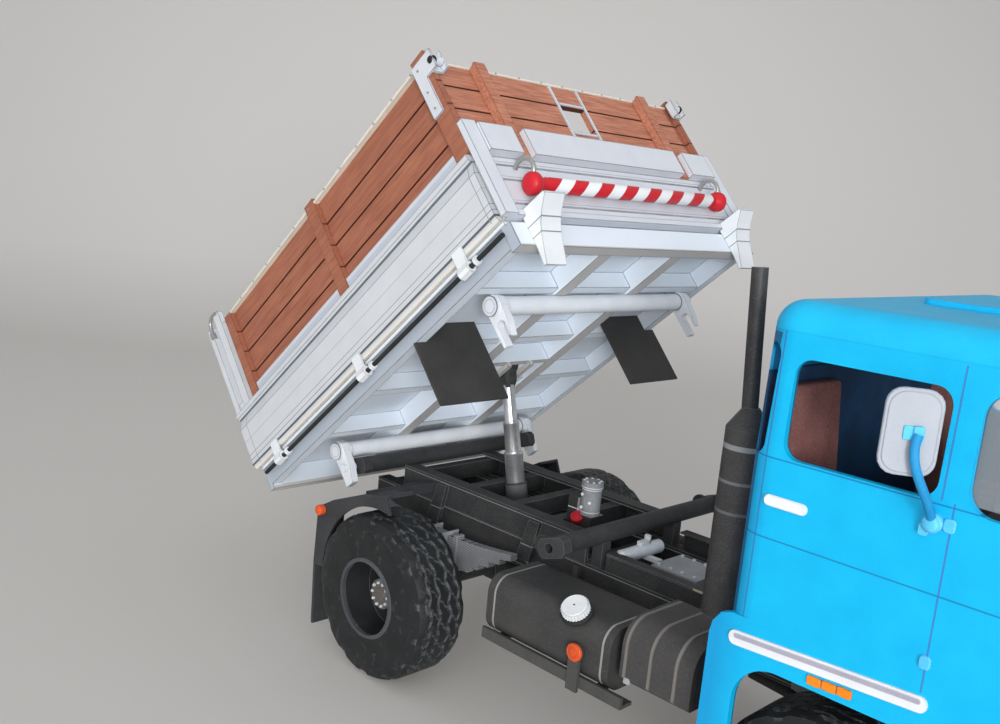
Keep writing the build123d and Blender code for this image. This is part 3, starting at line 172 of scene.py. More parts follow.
room = bpy.data.worlds.new("room")
room.use_nodes = True
tree = room.node_tree
sky = add(tree, "Mix", (seen_directly(tree), srgb("#c9cbcf"), srgb("#bdbbb9")), data_type="RGBA")[2]
tree.links.new(sky, tree.nodes["Background"].inputs["Color"])
scene.world = room
aim = Vector((0, 0, 0.06))
for name, watts, size, spread, place in (
    ("key_lamp", 2.0, 0.60, 180, aim + (eye - right * 0.04 + up * 0.02 - aim) * 2.8),
    ("low_lamp", 0.95, 0.40, 50, Vector((0.95, -0.78, 0.16))),
    ("overhead_lamp", 0.18, 0.70, 180, Vector((0.05, -0.10, 0.75))),
):
    lamp = bpy.data.objects.new(name, bpy.data.lights.new(name, "AREA"))
    lamp.data.energy = watts
    lamp.data.size = size
    lamp.data.spread = math.radians(spread)
    lamp.location = place
    lamp.rotation_euler = (aim - place).to_track_quat("-Z", "Y").to_euler()
    scene.collection.objects.link(lamp)


# The frame: two folded rails with cross-members and the tipper's own frame on top, cut from card printed
# speckled black, glued edge on edge, so that the folds and cut edges show paler where they have worn.
def measure(tree, axes):
    """Coordinates in millimetres along a set of axes: the object's own, put through the axes' inverse."""
    into = axes.inverted()
    place = add(tree, "Mapping", {
        "Vector": add(tree, "TexCoord")["Object"], "Location": into.translation,
        "Rotation": into.to_euler(), "Scale": into.to_scale(),
    })
    return list(add(tree, "SeparateXYZ", (place[0],)))


def printed(axes, *marks):
    """Marks printed over the card's own ink. A mark is its ink, its strength and then limits, each a
    coordinate and the lowest and highest value between which it shows. Coordinates 0 to 2 are measure's
    x, y and z, and 3 is the distance from the middle, |y|."""
    def prints(tree, colour):
        place = measure(tree, axes)
        place.append(add(tree, "Math", (place[1],), operation="ABSOLUTE")[0])
        for ink, strength, *limits in marks:
            shown = strength
            for coordinate, low, high in limits:
                middle, half = (low + high) / 2, (high - low) / 2
                within = add(tree, "Math", (place[coordinate], middle, half), operation="COMPARE")[0]
                shown = add(tree, "Math", (shown, within), operation="MULTIPLY")[0]
            colour = add(tree, "Mix", (shown, colour, srgb(ink)), data_type="RGBA")[2]
        return colour
    return prints


ink_drift = 6.67  # mm between lighter and darker patches of a printed sheet
paper_grain = 0.357  # mm; the paper's own fibres are ten times finer and wouldn't show
speck_spacing = 0.526  # mm between the printed specks


def card(
    name, ink, shade, edge, edge_mm=0.25, edge_share=0.8, speck=0.0, speck_ink="#6c6e6c", rough=0.62,
    prints=None,
):
    """Printed card: matt, with its ink drifting towards a second shade and a fine paper grain in colour
    and bump. Where the surface turns within edge_mm, a drawn line or a worn fold shows, and prints adds
    what is drawn."""
    material, tree, shader = new_finish(name, roughness=rough)
    place = add(tree, "TexCoord")["Object"]
    drift = add(tree, "TexNoise", {"Vector": place, "Scale": 1 / (ink_drift * MM), "Detail": 3.0})[0]
    grain = add(tree, "TexNoise", {"Vector": place, "Scale": 1 / (paper_grain * MM), "Detail": 2.0})[0]
    share = add(tree, "Math", (grain, 0.55, drift), operation="MULTIPLY_ADD")[0]
    share = add(tree, "MapRange", {"Value": share, "From Min": 0.55, "From Max": 1.0})[0]
    colour = add(tree, "Mix", (share, srgb(ink), srgb(shade)), data_type="RGBA")[2]
    if speck:
        dots = add(tree, "TexVoronoi", {"Vector": place, "Scale": 1 / (speck_spacing * MM)})["Distance"]
        dots = add(tree, "MapRange", {"Value": dots, "From Min": 0.30, "From Max": 0.10})[0]
        dots = add(tree, "Math", (dots, speck), operation="MULTIPLY")[0]
        colour = add(tree, "Mix", (dots, colour, srgb(speck_ink)), data_type="RGBA")[2]
    if prints:
        colour = prints(tree, colour)
    rounded_off = add(tree, "Bevel", {"Radius": edge_mm * MM}, samples=6)[0]
    flat = add(tree, "NewGeometry")["True Normal"]
    turn = add(tree, "VectorMath", (rounded_off, flat), operation="DOT_PRODUCT")["Value"]
    line = add(tree, "MapRange", {"Value": turn, "From Min": 0.99, "From Max": 0.93})[0]
    waver = add(tree, "MapRange", {"Value": drift, "From Min": 0.35, "From Max": 0.6, "To Min": 0.7})[0]
    line = add(tree, "Math", (line, waver), operation="MULTIPLY")[0]
    line = add(tree, "Math", (line, edge_share), operation="MULTIPLY")[0]
    colour = add(tree, "Mix", (line, colour, srgb(edge)), data_type="RGBA")[2]
    tree.links.new(colour, shader.inputs["Base Color"])
    bump = add(tree, "Bump", {"Height": grain, "Strength": 0.35, "Distance": 0.03 * MM})
    tree.links.new(bump[0], shader.inputs["Normal"])
    return material


def dress(material, *names):
    """Gives CAD nodes their finish."""
    for name in names:
        nodes[name].data.materials.clear()
        nodes[name].data.materials.append(material)


rail_lines = [(2, z - half, z + half) for z, half in ((39.2, 0.10), (32.7, 0.08))]
frame_lines = printed(
    truck, *[("#8d8f8b", 1.0, line, (0, -36, 150)) for line in rail_lines],
    ("#8d8f8b", 1.0, (2, 46.12, 46.28), (0, -36, 46)),
)
# Card printed black: matt and flecked with pale specks, worn to grey along its folds.
black_card = card("speckled_black_card", "#28292b", "#373838", "#8b8c8c", 0.18, 0.7, speck=0.35)
frame_card = card(
    "frame_black_card", "#2b2c2e", "#3b3b3b", "#8f9192", 0.2, 0.75, speck=0.35, prints=frame_lines,
)
dress(frame_card, "chassis_frame", "tipper_subframe")
dress(black_card, "front_axle", "rear_axle", "propeller_shafts")


# The folded cap that stands on each rail ahead of the front tube, where the tipper's frame has ended. It
# is the frame's own black card, with its cut edge left bare, which shows as a warm pale line.
def carry(outline, path, across, over):
    """A closed outline carried along a path: point (i, j) is path point i plus outline point j, whose two
    numbers are laid along the two directions given for path point i. Its ends are closed flat."""
    outline, path = np.asarray(outline, float), np.asarray(path, float)
    across = np.broadcast_to(np.asarray(across, float), path.shape)
    over = np.broadcast_to(np.asarray(over, float), path.shape)
    points = path[:, None] + outline[None, :, :1] * across[:, None] + outline[None, :, 1:] * over[:, None]
    rows, columns = points.shape[:2]
    index = np.arange(rows * columns).reshape(rows, columns)
    ring = np.hstack((index, index[:, :1]))
    quads = np.stack((ring[:-1, :-1], ring[1:, :-1], ring[1:, 1:], ring[:-1, 1:]), axis=-1).reshape(-1, 4)
    return points.reshape(-1, 3), quads.tolist() + [index[0].tolist(), index[-1, ::-1].tolist()]


def rounded(width, height, corner):
    """A rectangle's outline about its middle, each corner a quarter circle of the given radius."""
    angle = np.repeat(np.arange(4) * math.pi / 2, 5) + np.tile(np.linspace(0, math.pi / 2, 5), 4)
    sign = np.repeat(np.array(((1, 1), (-1, 1), (-1, -1), (1, -1))), 5, axis=0)
    inner = np.array((width, height)) / 2 - corner
    return sign * inner + corner * np.stack((np.cos(angle), np.sin(angle)), axis=1)


def slab(start, end, corner=0.0, along=2):
    """A plate between two opposite corners: its rectangle, with round corners, carried along one of its
    three sides."""
    low, high = np.minimum(start, end), np.maximum(start, end)
    one, two = [side for side in range(3) if side != along]
    middle = (low + high) / 2
    width, height = high[one] - low[one], high[two] - low[two]
    corner = min(corner, 0.49 * width, 0.49 * height)
    outline = rounded(width, height, corner) if corner else rounded(width, height, 0.0)[::5]
    path = np.repeat(middle[None], 2, axis=0)
    path[:, along] = low[along], high[along]
    return carry(outline, path, np.eye(3)[one], np.eye(3)[two])


def put_together(name, shapes, axes, material, body, bevel=0.0, smooth=False, stands_for=()):
    """One piece from several shapes, in the axes they were drawn in, with its faces turned outwards."""
    points = np.concatenate([shape[0] for shape in shapes])
    starts = np.cumsum([0] + [len(shape[0]) for shape in shapes])
    faces = [[int(start) + i for i in face] for start, shape in zip(starts, shapes) for face in shape[1]]
    turn = np.array(axes)
    mesh = bpy.data.meshes.new(name)
    mesh.from_pydata((points @ turn[:3, :3].T + turn[:3, 3]).tolist(), [], faces)
    shell = bmesh.new()
    shell.from_mesh(mesh)
    bmesh.ops.recalc_face_normals(shell, faces=shell.faces)
    shell.to_mesh(mesh)
    shell.free()
    if smooth:
        mesh.shade_smooth()
        mesh.set_sharp_from_angle(angle=math.radians(40))
    mesh.materials.append(material)
    piece = bpy.data.objects.new(name, mesh)
    scene.collection.objects.link(piece)
    if bevel:
        edges = piece.modifiers.new("worn_edges", "BEVEL")
        edges.width = bevel * MM
        edges.segments = 1
        edges.limit_method = "ANGLE"
    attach(piece, body)
    if stands_for:
        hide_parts(*stands_for)


for side, name in both_sides:
    cap = [
        slab((51.2, side * 13.4, 43.9), (97.2, side * 16.4, 44.4)),
        slab((51.2, side * 15.5, 39.9), (91.2, side * 16.4, 44.0)),
    ]
    put_together("rail_cap_" + name, cap, truck, frame_card, "chassis", bevel=0.08)
# Bare cut card: cream, with brown flecks where the scissors went through the ink.
cut_edge = card("cut_card_edge", "#b9b0a0", "#8c6f55", "#efe9dc", 0.1, 0.3)
edge_strips = [
    slab((76.0, side * 16.45 - 0.12, 44.0), (97.2, side * 16.45 + 0.12, 44.42))
    for side in (-1, 1)
]
put_together("rail_edge_strips", edge_strips, truck, cut_edge, "chassis")


# Gusset plates tie the tipper's frame to the rails: card triangles, glued on. Their rivets are grey card
# rings cut with a punch, three to a plate.
def turned(profile, base, axis, sides=32, hollow=False):
    """A lathe shape: profile rows are (distance along the axis, radius), each turned into a ring about
    it. Its ends are closed flat, or where it is hollow, its last ring joins its first."""
    profile, base = np.asarray(profile, float), np.asarray(base, float)
    axis = np.asarray(axis, float) / np.linalg.norm(axis)
    first = np.cross(axis, np.eye(3)[np.argmin(np.abs(axis))])
    first /= np.linalg.norm(first)
    second = np.cross(axis, first)
    angle = np.linspace(0, 2 * math.pi, sides, endpoint=False)
    ring = np.cos(angle)[:, None] * first + np.sin(angle)[:, None] * second
    points = base + profile[:, None, :1] * axis + profile[:, None, 1:] * ring[None]
    index = np.arange(len(profile) * sides).reshape(len(profile), sides)
    loop = np.hstack((index, index[:, :1]))
    if hollow:
        loop = np.vstack((loop, loop[:1]))
    quads = np.stack((loop[:-1, :-1], loop[1:, :-1], loop[1:, 1:], loop[:-1, 1:]), axis=-1).reshape(-1, 4)
    ends = [] if hollow else [index[0].tolist(), index[-1, ::-1].tolist()]
    return points.reshape(-1, 3), quads.tolist() + ends


rivets = [
    turned(((-0.1, 0.42), (0.22, 0.42), (0.34, 0.2)), (x, side * 16.5, z), (0, side, 0), 10)
    for x in (-8.6, 26.4) for z in (34.0, 36.2, 38.4) for side in (-1, 1)
]
# Grey printed card, a little paler on top.
rivet_card = card("grey_punched_card", "#6c6d6b", "#8a8b88", "#b9bab6", 0.1, 0.7)
put_together("frame_rivets", rivets, truck, rivet_card, "chassis")


# Leaf springs: strips of grey card stacked into a pack, each one drawn with a dark gap, and held by a
# clamp at the axle and a shackle at each end.
def leaves(tree, colour):
    """Dark gaps between the leaves, one every 0.62 mm of height, which bow with the square of x."""
    place = measure(tree, truck)
    bow = add(tree, "Math", (place[0], place[0]), operation="MULTIPLY")[0]
    height = add(tree, "Math", (bow, 0.0085, place[2]), operation="MULTIPLY_ADD")[0]
    gap = add(tree, "Math", (height, 0.62), operation="DIVIDE")[0]
    gap = add(tree, "Math", (gap,), operation="FRACT")[0]
    gap = add(tree, "MapRange", {"Value": gap, "From Min": 0.30, "From Max": 0.12})[0]
    return add(tree, "Mix", (gap, colour, srgb("#3b3d40")), data_type="RGBA")[2]


# Mid-grey printed card for the leaves, and a paler card with dark drawn edges for the clamps.
spring_card = card("grey_leaf_card", "#85878a", "#9b9da0", "#c9cacb", 0.15, 0.5, prints=leaves)
dress(spring_card, "leaf_springs")
clamps = [
    slab((x - 0.3, y - 2.9, 22.0), (x + 0.3, y + 2.9, 36.0), 0.2)
    for y in (-22.4, 22.4) for x in (-3.2, 3.2)
]
clamp_card = card("pale_clamp_card", "#aeb1b4", "#8f9295", "#e4e6e8", 0.15, 0.8)
put_together("spring_clamps", clamps, truck, clamp_card, "chassis")


# Wheels: a tyre of rolled black card whose tread is cut into five wavy ribs with notched shoulders, glued
# round a deep black dish. A grey hub disc and ten bolts of silver foil finish the outside of each.
tyre_radius = 21.5  # lengths in millimetres, as everywhere on the truck
tyre_width = 16.0
groove_depth = 0.34
notch_depth = 0.5
scuff_width = 1.92
wave_count = 24
notch_count = 14
steps_per_wave = 18
tyre_face = ((0.0, 10.7), (0.0, 12.5), (0.1, 14.0), (0.0, 16.0), (0.05, 18.1))
hub_disc = ((0, 3.95), (0.45, 3.95), (0.6, 3.7), (0.6, 1.9), (1.0, 1.6), (1.1, 0.4))
rim_lip = ((0.3, 9.5), (0.3, 9.9), (0.1, 10.5), (-0.6, 10.6), (-0.6, 9.5))


def tread(outer, toward):
    """A tyre's grid: its profile, carried round the hub, runs over the tread from shoulder to shoulder,
    and each point there sinks by a groove's depth near four wavy lines and near the cuts that cross each
    rib."""
    turns = wave_count * steps_per_wave
    middle = tyre_width / 2
    angle = np.linspace(0, 2 * math.pi, turns, endpoint=False)[:, None]
    depth = np.linspace(0.9, 15.1, 45)[None, :] + 0 * angle
    from_middle = np.abs(depth - middle)
    radius = tyre_radius - 0.32 * np.clip(from_middle - 5.0, 0, None) ** 1.35
    wave = 0.38 * np.sin(angle * wave_count)
    groove = np.zeros_like(radius)
    for line in (3.4, 6.3, 9.7, 12.6):
        groove = np.maximum(groove, np.clip(1.35 - np.abs(depth - line - wave) / 0.26, 0, 1))
    phase = (angle * wave_count / (2 * math.pi) + depth * 0.22) % 1.0
    cut = np.clip(1.4 - np.abs(phase - 0.5) * 22, 0, 1) * (from_middle < 4.4)
    phase = (angle * notch_count / (2 * math.pi)) % 1.0
    notch = np.clip(1.6 - np.abs(phase - 0.5) * 7, 0, 1) * (from_middle > 5.4)
    radius = radius - groove_depth * np.maximum(groove, 0.3 * cut) - notch_depth * notch * (1 - groove)
    near = np.repeat(np.array(tyre_face)[None], turns, axis=0)
    far = near[:, ::-1] * (-1, 1) + (tyre_width, 0)
    profile = np.concatenate((near, np.stack((depth, radius), axis=2), far), axis=1)
    x, z = profile[..., 1] * np.cos(angle), tyre_radius + profile[..., 1] * np.sin(angle)
    points = np.stack((x, outer + toward * profile[..., 0], z), axis=2)
    index = np.arange(points.shape[0] * points.shape[1]).reshape(points.shape[:2])
    index = np.vstack((index, index[:1]))
    index = np.hstack((index, index[:, :1]))
    quads = np.stack((index[:-1, :-1], index[1:, :-1], index[1:, 1:], index[:-1, 1:]), axis=-1)
    return points.reshape(-1, 3), quads.reshape(-1, 4).tolist()


def scuffed(tree, colour):
    """Paler scuffs two millimetres wide where noise is highest, as the rolled card rubs on the table."""
    scale = 1 / (scuff_width * MM)
    scuff = add(
        tree, "TexNoise", {"Vector": add(tree, "TexCoord")["Object"], "Scale": scale, "Detail": 3.0},
    )[0]
    scuff = add(tree, "MapRange", {"Value": scuff, "From Min": 0.60, "From Max": 0.75, "To Max": 0.35})[0]
    return add(tree, "Mix", (scuff, colour, srgb("#55595b")), data_type="RGBA")[2]


# Black card with a slight sheen for the tyres, dull black for the dish, greys for lip and hub; the bolts
# are kitchen foil on card, the brightest dots of the wheel.
tyre_card = card(
    "rolled_black_card", "#18191b", "#222425", "#92989c", 0.08, 0.3, prints=scuffed, rough=0.5,
)
wheel_card = card("dull_black_card", "#1e1f21", "#2b2c2d", "#7c8084", 0.2, 0.8)
lip_card = card("dark_grey_card", "#3f4245", "#4c4f52", "#6d7073", 0.2, 0.6)
hub_card = card("warm_grey_card", "#56524e", "#6b6762", "#8d8a85", 0.15, 0.7)
bolt_foil = card("silver_foil", "#aeb3b8", "#ced2d6", "#ffffff", 0.12, 0.8, rough=0.35)
dress(wheel_card, "rim_rear_right", "rim_rear_left", "rim_front_right", "rim_front_left")
dress(black_card, "steering_knuckle_right", "steering_knuckle_left")
for end, x, face in (("rear", 0.0, 47.3), ("front", wheelbase, 44.6)):
    for side, name in both_sides:
        body = f"wheel_{end}_{name}"
        wheel = truck @ Matrix.Translation((x, 0, 0))
        tyre = [tread(side * face, -side)]
        put_together(
            f"treaded_tyre_{end}_{name}", tyre, wheel, tyre_card, body, smooth=True,
            stands_for=(f"tyre_{end}_{name}",),
        )
        out = (0, side, 0)
        hub = (0, side * (face - 5.5), tyre_radius)
        disc = turned(hub_disc, hub, out)
        put_together(f"hub_disc_{end}_{name}", [disc], wheel, hub_card, body, smooth=True)
        lip = turned(rim_lip, (0, side * face, tyre_radius), out, 64, hollow=True)
        put_together(f"rim_lip_{end}_{name}", [lip], wheel, lip_card, body, smooth=True)
        bolts = []
        for turn in np.arange(10) * math.pi / 5:
            at = (3.05 * math.cos(turn), hub[1] + side * 0.5, tyre_radius + 3.05 * math.sin(turn))
            bolts.append(turned(((0, 0.44), (0.5, 0.44), (0.75, 0.2)), at, out, 6))
        put_together(f"wheel_bolts_{end}_{name}", bolts, wheel, bolt_foil, body)


# Engine, gearbox and air cylinder: rolled and folded grey card between the rails, with bolts of foil
# along the gearbox's top joint and a small bracket over the cylinder. Both greys are matt, with dark
# drawn edges.
grey_card = card("grey_card", "#8f9091", "#a3a4a5", "#54565a", 0.2, 0.7)
pale_card = card("pale_grey_card", "#b9bcc0", "#cfd2d5", "#7a7e83", 0.2, 0.6)
dress(grey_card, "gearbox", "engine_block")
dress(pale_card, "air_cylinder")
cylinder_end = [
    turned(((0, 1.7), (1.6, 0.5), (3.4, 0.3)), (53.0, -13.0, 43.4), (0, -1, 0), 20),
    slab((52.2, -6.4, 44.4), (53.8, -2.6, 46.0), 0.3), slab((52.2, -3.6, 45.2), (53.8, -2.6, 47.2), 0.3),
]
put_together("cylinder_end", cylinder_end, truck, pale_card, "chassis", bevel=0.1)
gear_bolts = [
    turned(((0, 0.5), (0.6, 0.5), (0.8, 0.2)), (x, y, 41.4), (0, 0, 1), 6)
    for x in (58.4, 61.8, 65.2, 68.6) for y in (-4.9, 4.9)
]
put_together("gearbox_bolts", gear_bolts, truck, bolt_foil, "chassis")


# Fuel tank: charcoal card rolled over a square form, held by two straps whose pale wire shows as a line,
# with a white knurled cap in a dark ring and an orange reflector on a post.
def pale_bands(*places, ink="#8f8d88", half=0.26):
    """Pale lines round the tank or box, each where x comes within half a width of its place."""
    return printed(truck, *[(ink, 1.0, (0, x - half, x + half)) for x in places])


# Charcoal printed card: warm dark grey with fine specks; the cap is white card with a grey drawn edge.
tank_card = card(
    "rolled_charcoal_card", "#353535", "#403f3e", "#2b2b2b", 0.2, 0.5, speck=0.3,
    prints=pale_bands(42.3, 73.9),
)
dress(tank_card, "fuel_tank")
charcoal_card = card("charcoal_card", "#3f3f3e", "#4b4b49", "#2a2a2a", 0.2, 0.5, speck=0.3)
dress(charcoal_card, "air_reservoirs", "battery_box", "dashboard", "tank_fittings")
lean = math.radians(58)  # the filler neck's tilt from level
cap_out = Vector((0, -math.cos(lean), math.sin(lean)))
cap_seat = Vector((65.0, -42.12, 40.59)) + cap_out * 1.1
knurl = 3.05 + 0.12 * np.cos(np.arange(56) * math.pi)
angle = np.linspace(0, 2 * math.pi, 56, endpoint=False)
first = np.array((1.0, 0, 0))
second = np.cross(np.array(cap_out), first)
rim = np.stack((knurl * np.cos(angle), knurl * np.sin(angle)), axis=1)
cap_path = np.array([np.array(cap_seat) + np.array(cap_out) * height for height in (-0.05, 1.5)])
cap_card = card("white_cap_card", "#dfe1e2", "#cfd2d4", "#8e9296", 0.15, 0.7)
put_together(
    "tank_cap", [
        carry(rim, cap_path, first, second),
        turned(((1.4, 2.95), (1.75, 2.85), (1.85, 2.6), (1.8, 2.3)), cap_seat, cap_out, 40),
    ], truck, cap_card, "chassis", bevel=0.06,
)
ring_card = card("black_ring_card", "#1f2022", "#2a2b2c", "#4a4a4a", 0.1, 0.3)
put_together(
    "tank_cap_ring", [
        turned(((-0.9, 3.6), (-0.3, 3.6), (-0.1, 3.2)), cap_seat, cap_out, 40),
        turned(((1.7, 0.22), (1.9, 0.2)), cap_seat, cap_out, 10),
    ], truck, ring_card, "chassis",
)
# Orange ink on card, as shiny as a printed lens gets.
orange_print = card("orange_print", "#d9582a", "#c24a20", "#8a3012", 0.2, 0.5, rough=0.4)
disc = ((-0.25, 1.95), (0.25, 1.95), (0.4, 1.8), (0.4, 1.2), (0.55, 1.0), (0.55, 0.3))
reflector = turned(disc, (67.8, -45.4, 33.9), (0, -1, 0), 28)
put_together("tank_reflector", [reflector], truck, orange_print, "chassis", smooth=True)

# The side box behind the cab: the same charcoal card, rolled to a rounder top, with three raised ribs and
# a latch at its foot.
box_card = card(
    "ribbed_charcoal_card", "#3b3a3a", "#464443", "#2b2b2b", 0.2, 0.4, speck=0.3,
    prints=pale_bands(79.6, 85.6, 91.6, ink="#6f6c68", half=0.42),
)
box_start, box_end = 78.4, 95.4
quarter = np.linspace(0, math.pi / 2, 10)
shoulder = np.stack((-37.9 - 5.7 * np.sin(quarter), 39.3 + 5.7 * np.cos(quarter)), axis=1)
outline = np.concatenate((((-26.0, 45.0),), shoulder, ((-43.6, 32.6), (-43.0, 32.0), (-26.0, 32.0))))
shell = carry(outline, ((box_start, 0, 0), (box_end, 0, 0)), (0, 1, 0), (0, 0, 1))
proud = np.where(outline[:, :1] < -30, (-0.14, 0.14), (0.0, 0.0)) * (outline[:, 1:] > 32.3)
ribs = [
    carry(outline + proud, ((x - 0.36, 0, 0), (x + 0.36, 0, 0)), (0, 1, 0), (0, 0, 1))
    for x in (79.6, 85.6, 91.6)
]
put_together(
    "ribbed_side_box", [shell] + ribs, truck, box_card, "chassis", smooth=True,
    stands_for=("side_box",),
)
put_together(
    "box_latch", [slab((79.6, -43.7, 31.6), (81.2, -43.2, 33.0), 0.3, 1)],
    truck, grey_card, "chassis", bevel=0.08,
)


# Oil canister: rolled grey card on a black pedestal, its lid ringed with bolts, three bolt heads on its
# side and a red filler cap at its foot.
canister_marks = printed(
    truck, ("#2d2d2d", 1.0, (2, 0, 48.65)), ("#2d2d2d", 1.0, (0, 0, 35.05)),
    *[("#c9cbcc", 1.0, (2, z - 0.1, z + 0.1)) for z in (56.0, 55.4, 49.6)],
)
# Grey printed card with a pale flecked ink, like cast metal; its foot and back are printed black.
canister_card = card(
    "flecked_grey_card", "#707275", "#85878a", "#4c4e50", 0.15, 0.5, speck=0.5, speck_ink="#a9abad",
    prints=canister_marks,
)
dress(canister_card, "oil_canister")
centre = np.array((37.6, -7.5))
lid = []
for turn in np.arange(8) * math.pi / 4:
    at = (*(centre + 2.1 * np.array((math.cos(turn), math.sin(turn)))), 57.1)
    lid.append(turned(((0, 0.34), (0.35, 0.34), (0.5, 0.15)), at, (0, 0, 1), 6))
for turn, z in ((-112, 54.0), (-112, 50.6), (-58, 52.2)):
    out = (math.cos(math.radians(turn)), math.sin(math.radians(turn)), 0)
    lid.append(
        turned(((0, 0.42), (0.4, 0.42), (0.55, 0.2)), (*(centre + 2.45 * np.array(out[:2])), z), out, 8)
    )
put_together("canister_bolts", lid, truck, bolt_foil, "chassis")
lid_ring = turned(((-0.1, 2.75), (0.25, 2.75), (0.25, 1.4), (-0.05, 1.2)), (37.6, -7.5, 57.1), (0, 0, 1))
put_together("canister_lid_ring", [lid_ring], truck, canister_card, "chassis")
# Red ink on card, smoother than the rest.
red_print = card("red_print", "#c3202a", "#a81a24", "#7c1018", 0.2, 0.5, rough=0.4)
button = ((-0.9, 1.6), (0.0, 1.7), (0.3, 1.55), (0.3, 1.1), (0.45, 0.9))
filler = turned(button, (36.0, -10.4, 48.0), (0.3, -0.6, 0.8))
put_together("filler_cap", [filler], truck, red_print, "chassis", smooth=True)


# Exhaust: rolled black card beside the cab's rear wall, a silencer with a cone above it and a thinner
# pipe. The card has a slight sheen, and worn pale rings where its sleeves meet.
sleeve_rings = printed(
    truck, ("#85888b", 1.0, (2, 83.1, 84.1)), ("#6a6c6e", 1.0, (2, 76.6, 77.2)),
    ("#5e6062", 1.0, (2, 70.7, 71.3)),
)
pipe_card = card(
    "sheeny_black_card", "#2c2c2e", "#424141", "#7d7f80", 0.2, 0.5, speck=0.3, prints=sleeve_rings,
    rough=0.5,
)
dress(pipe_card, "exhaust_stack")

# Rear mudguards: black card bent over the wheel and glued to a pair of arms, faintly flecked. A round
# lamp of printed card, orange on the right and red on the left, sits at the top of each one.
dress(card("bent_black_card", "#303134", "#3a3b3e", "#5d6064", 0.2, 0.5, speck=0.25), "rear_mudguards")
dress(orange_print, "tail_lamps")
dome = ((-0.3, 1.45), (0.35, 1.4), (0.75, 1.0), (0.9, 0.4))
for side, name, finish in ((-1, "right", orange_print), (1, "left", red_print)):
    lens = turned(dome, (-24.2, side * 45.6, 37.7), (0, side, 0), 20)
    put_together("tail_lens_" + name, [lens], truck, finish, "chassis", smooth=True)


# Cab: one shell of blue printed card, cut out and rolled at its corners, with its door and panel seams
# drawn in darker blue. Inside the windows the card is painted dark navy as painted shade, and a painted
# shade deepens the blue towards the rear corner.
cab_seams_and_inside_shade = printed(
    truck, *[
        ("#3f63ad", 0.75, (0, x - 0.16, x + 0.16), (2, low, high), (3, 45, 60))
        for x, low, high in ((106.0, 57.0, 109.0), (137.9, 56.5, 87.0), (135.9, 87.0, 107.6))
    ],
    *[("#0d6aa3", 0.8, (2, z - 0.14, z + 0.14)) for z in (72.3, 86.3, 108.2)],
    # Painted shade inside the cab: dark navy within 46.25 mm of the middle and below the roof.
    ("#123a5e", 0.85, (0, 102.6, 151.4), (2, 0, 107.5), (3, 0, 46.25)),
)


def cab_print_and_shade(tree, colour):
    """The seams and the painted shade inside, and then a painted shade: a deeper blue that comes in over
    the last six millimetres of x at the rear.
    """
    colour = cab_seams_and_inside_shade(tree, colour)
    # Painted shade towards the rear corner, where the cab's side turns away from the lamps.
    reach = {"Value": measure(tree, truck)[0], "From Min": 107.5, "From Max": 101.5, "To Max": 0.55}
    deep = add(tree, "MapRange", reach)[0]
    return add(tree, "Mix", (deep, colour, srgb("#1276b4")), data_type="RGBA")[2]


# Blue printed card, satin from a coat of varnish; its folds show a darker blue.
blue_card = card(
    "varnished_blue_card", "#04b4e4", "#00aade", "#0f7fb8", 0.3, 0.35, prints=cab_print_and_shade, rough=0.5,
)
dress(blue_card, "cab_body")
dress(card("varnished_roof_card", "#14b8e6", "#0aaee0", "#0f7fb8", 0.3, 0.35, rough=0.45), "cab_roof")
# Dark navy card for the painted shade inside the cab, on its floor and on the sheets inside its walls.
inside_shade_card = card("dark_blue_shade_card", "#173f63", "#122f4b", "#0c2033", 0.3, 0.4)
dress(inside_shade_card, "cab_floor")
# Sheets of painted shade inside the cab's rear and side walls, that darken the view through the windows.
shade_sheets = [
    slab((103.2, -45.6, 57.6), (103.6, 45.6, 100.6)),
    slab((104.0, 45.2, 57.6), (136.0, 45.6, 86.0)), slab((104.0, -45.6, 57.6), (136.0, -45.2, 86.0)),
]
put_together("cab_shade_sheets", shade_sheets, truck, inside_shade_card, "chassis")

# Door furniture: a white rounded handle, hinge lumps on the front seam, a white trim strip whose upper
# half carries a lilac strip of painted shadow, and orange markers under it. Each is a scrap of printed
# card, cut out and glued on.
handle_card = card("white_scrap_card", "#e6e9ec", "#d4dade", "#8fb9cf", 0.2, 0.6)
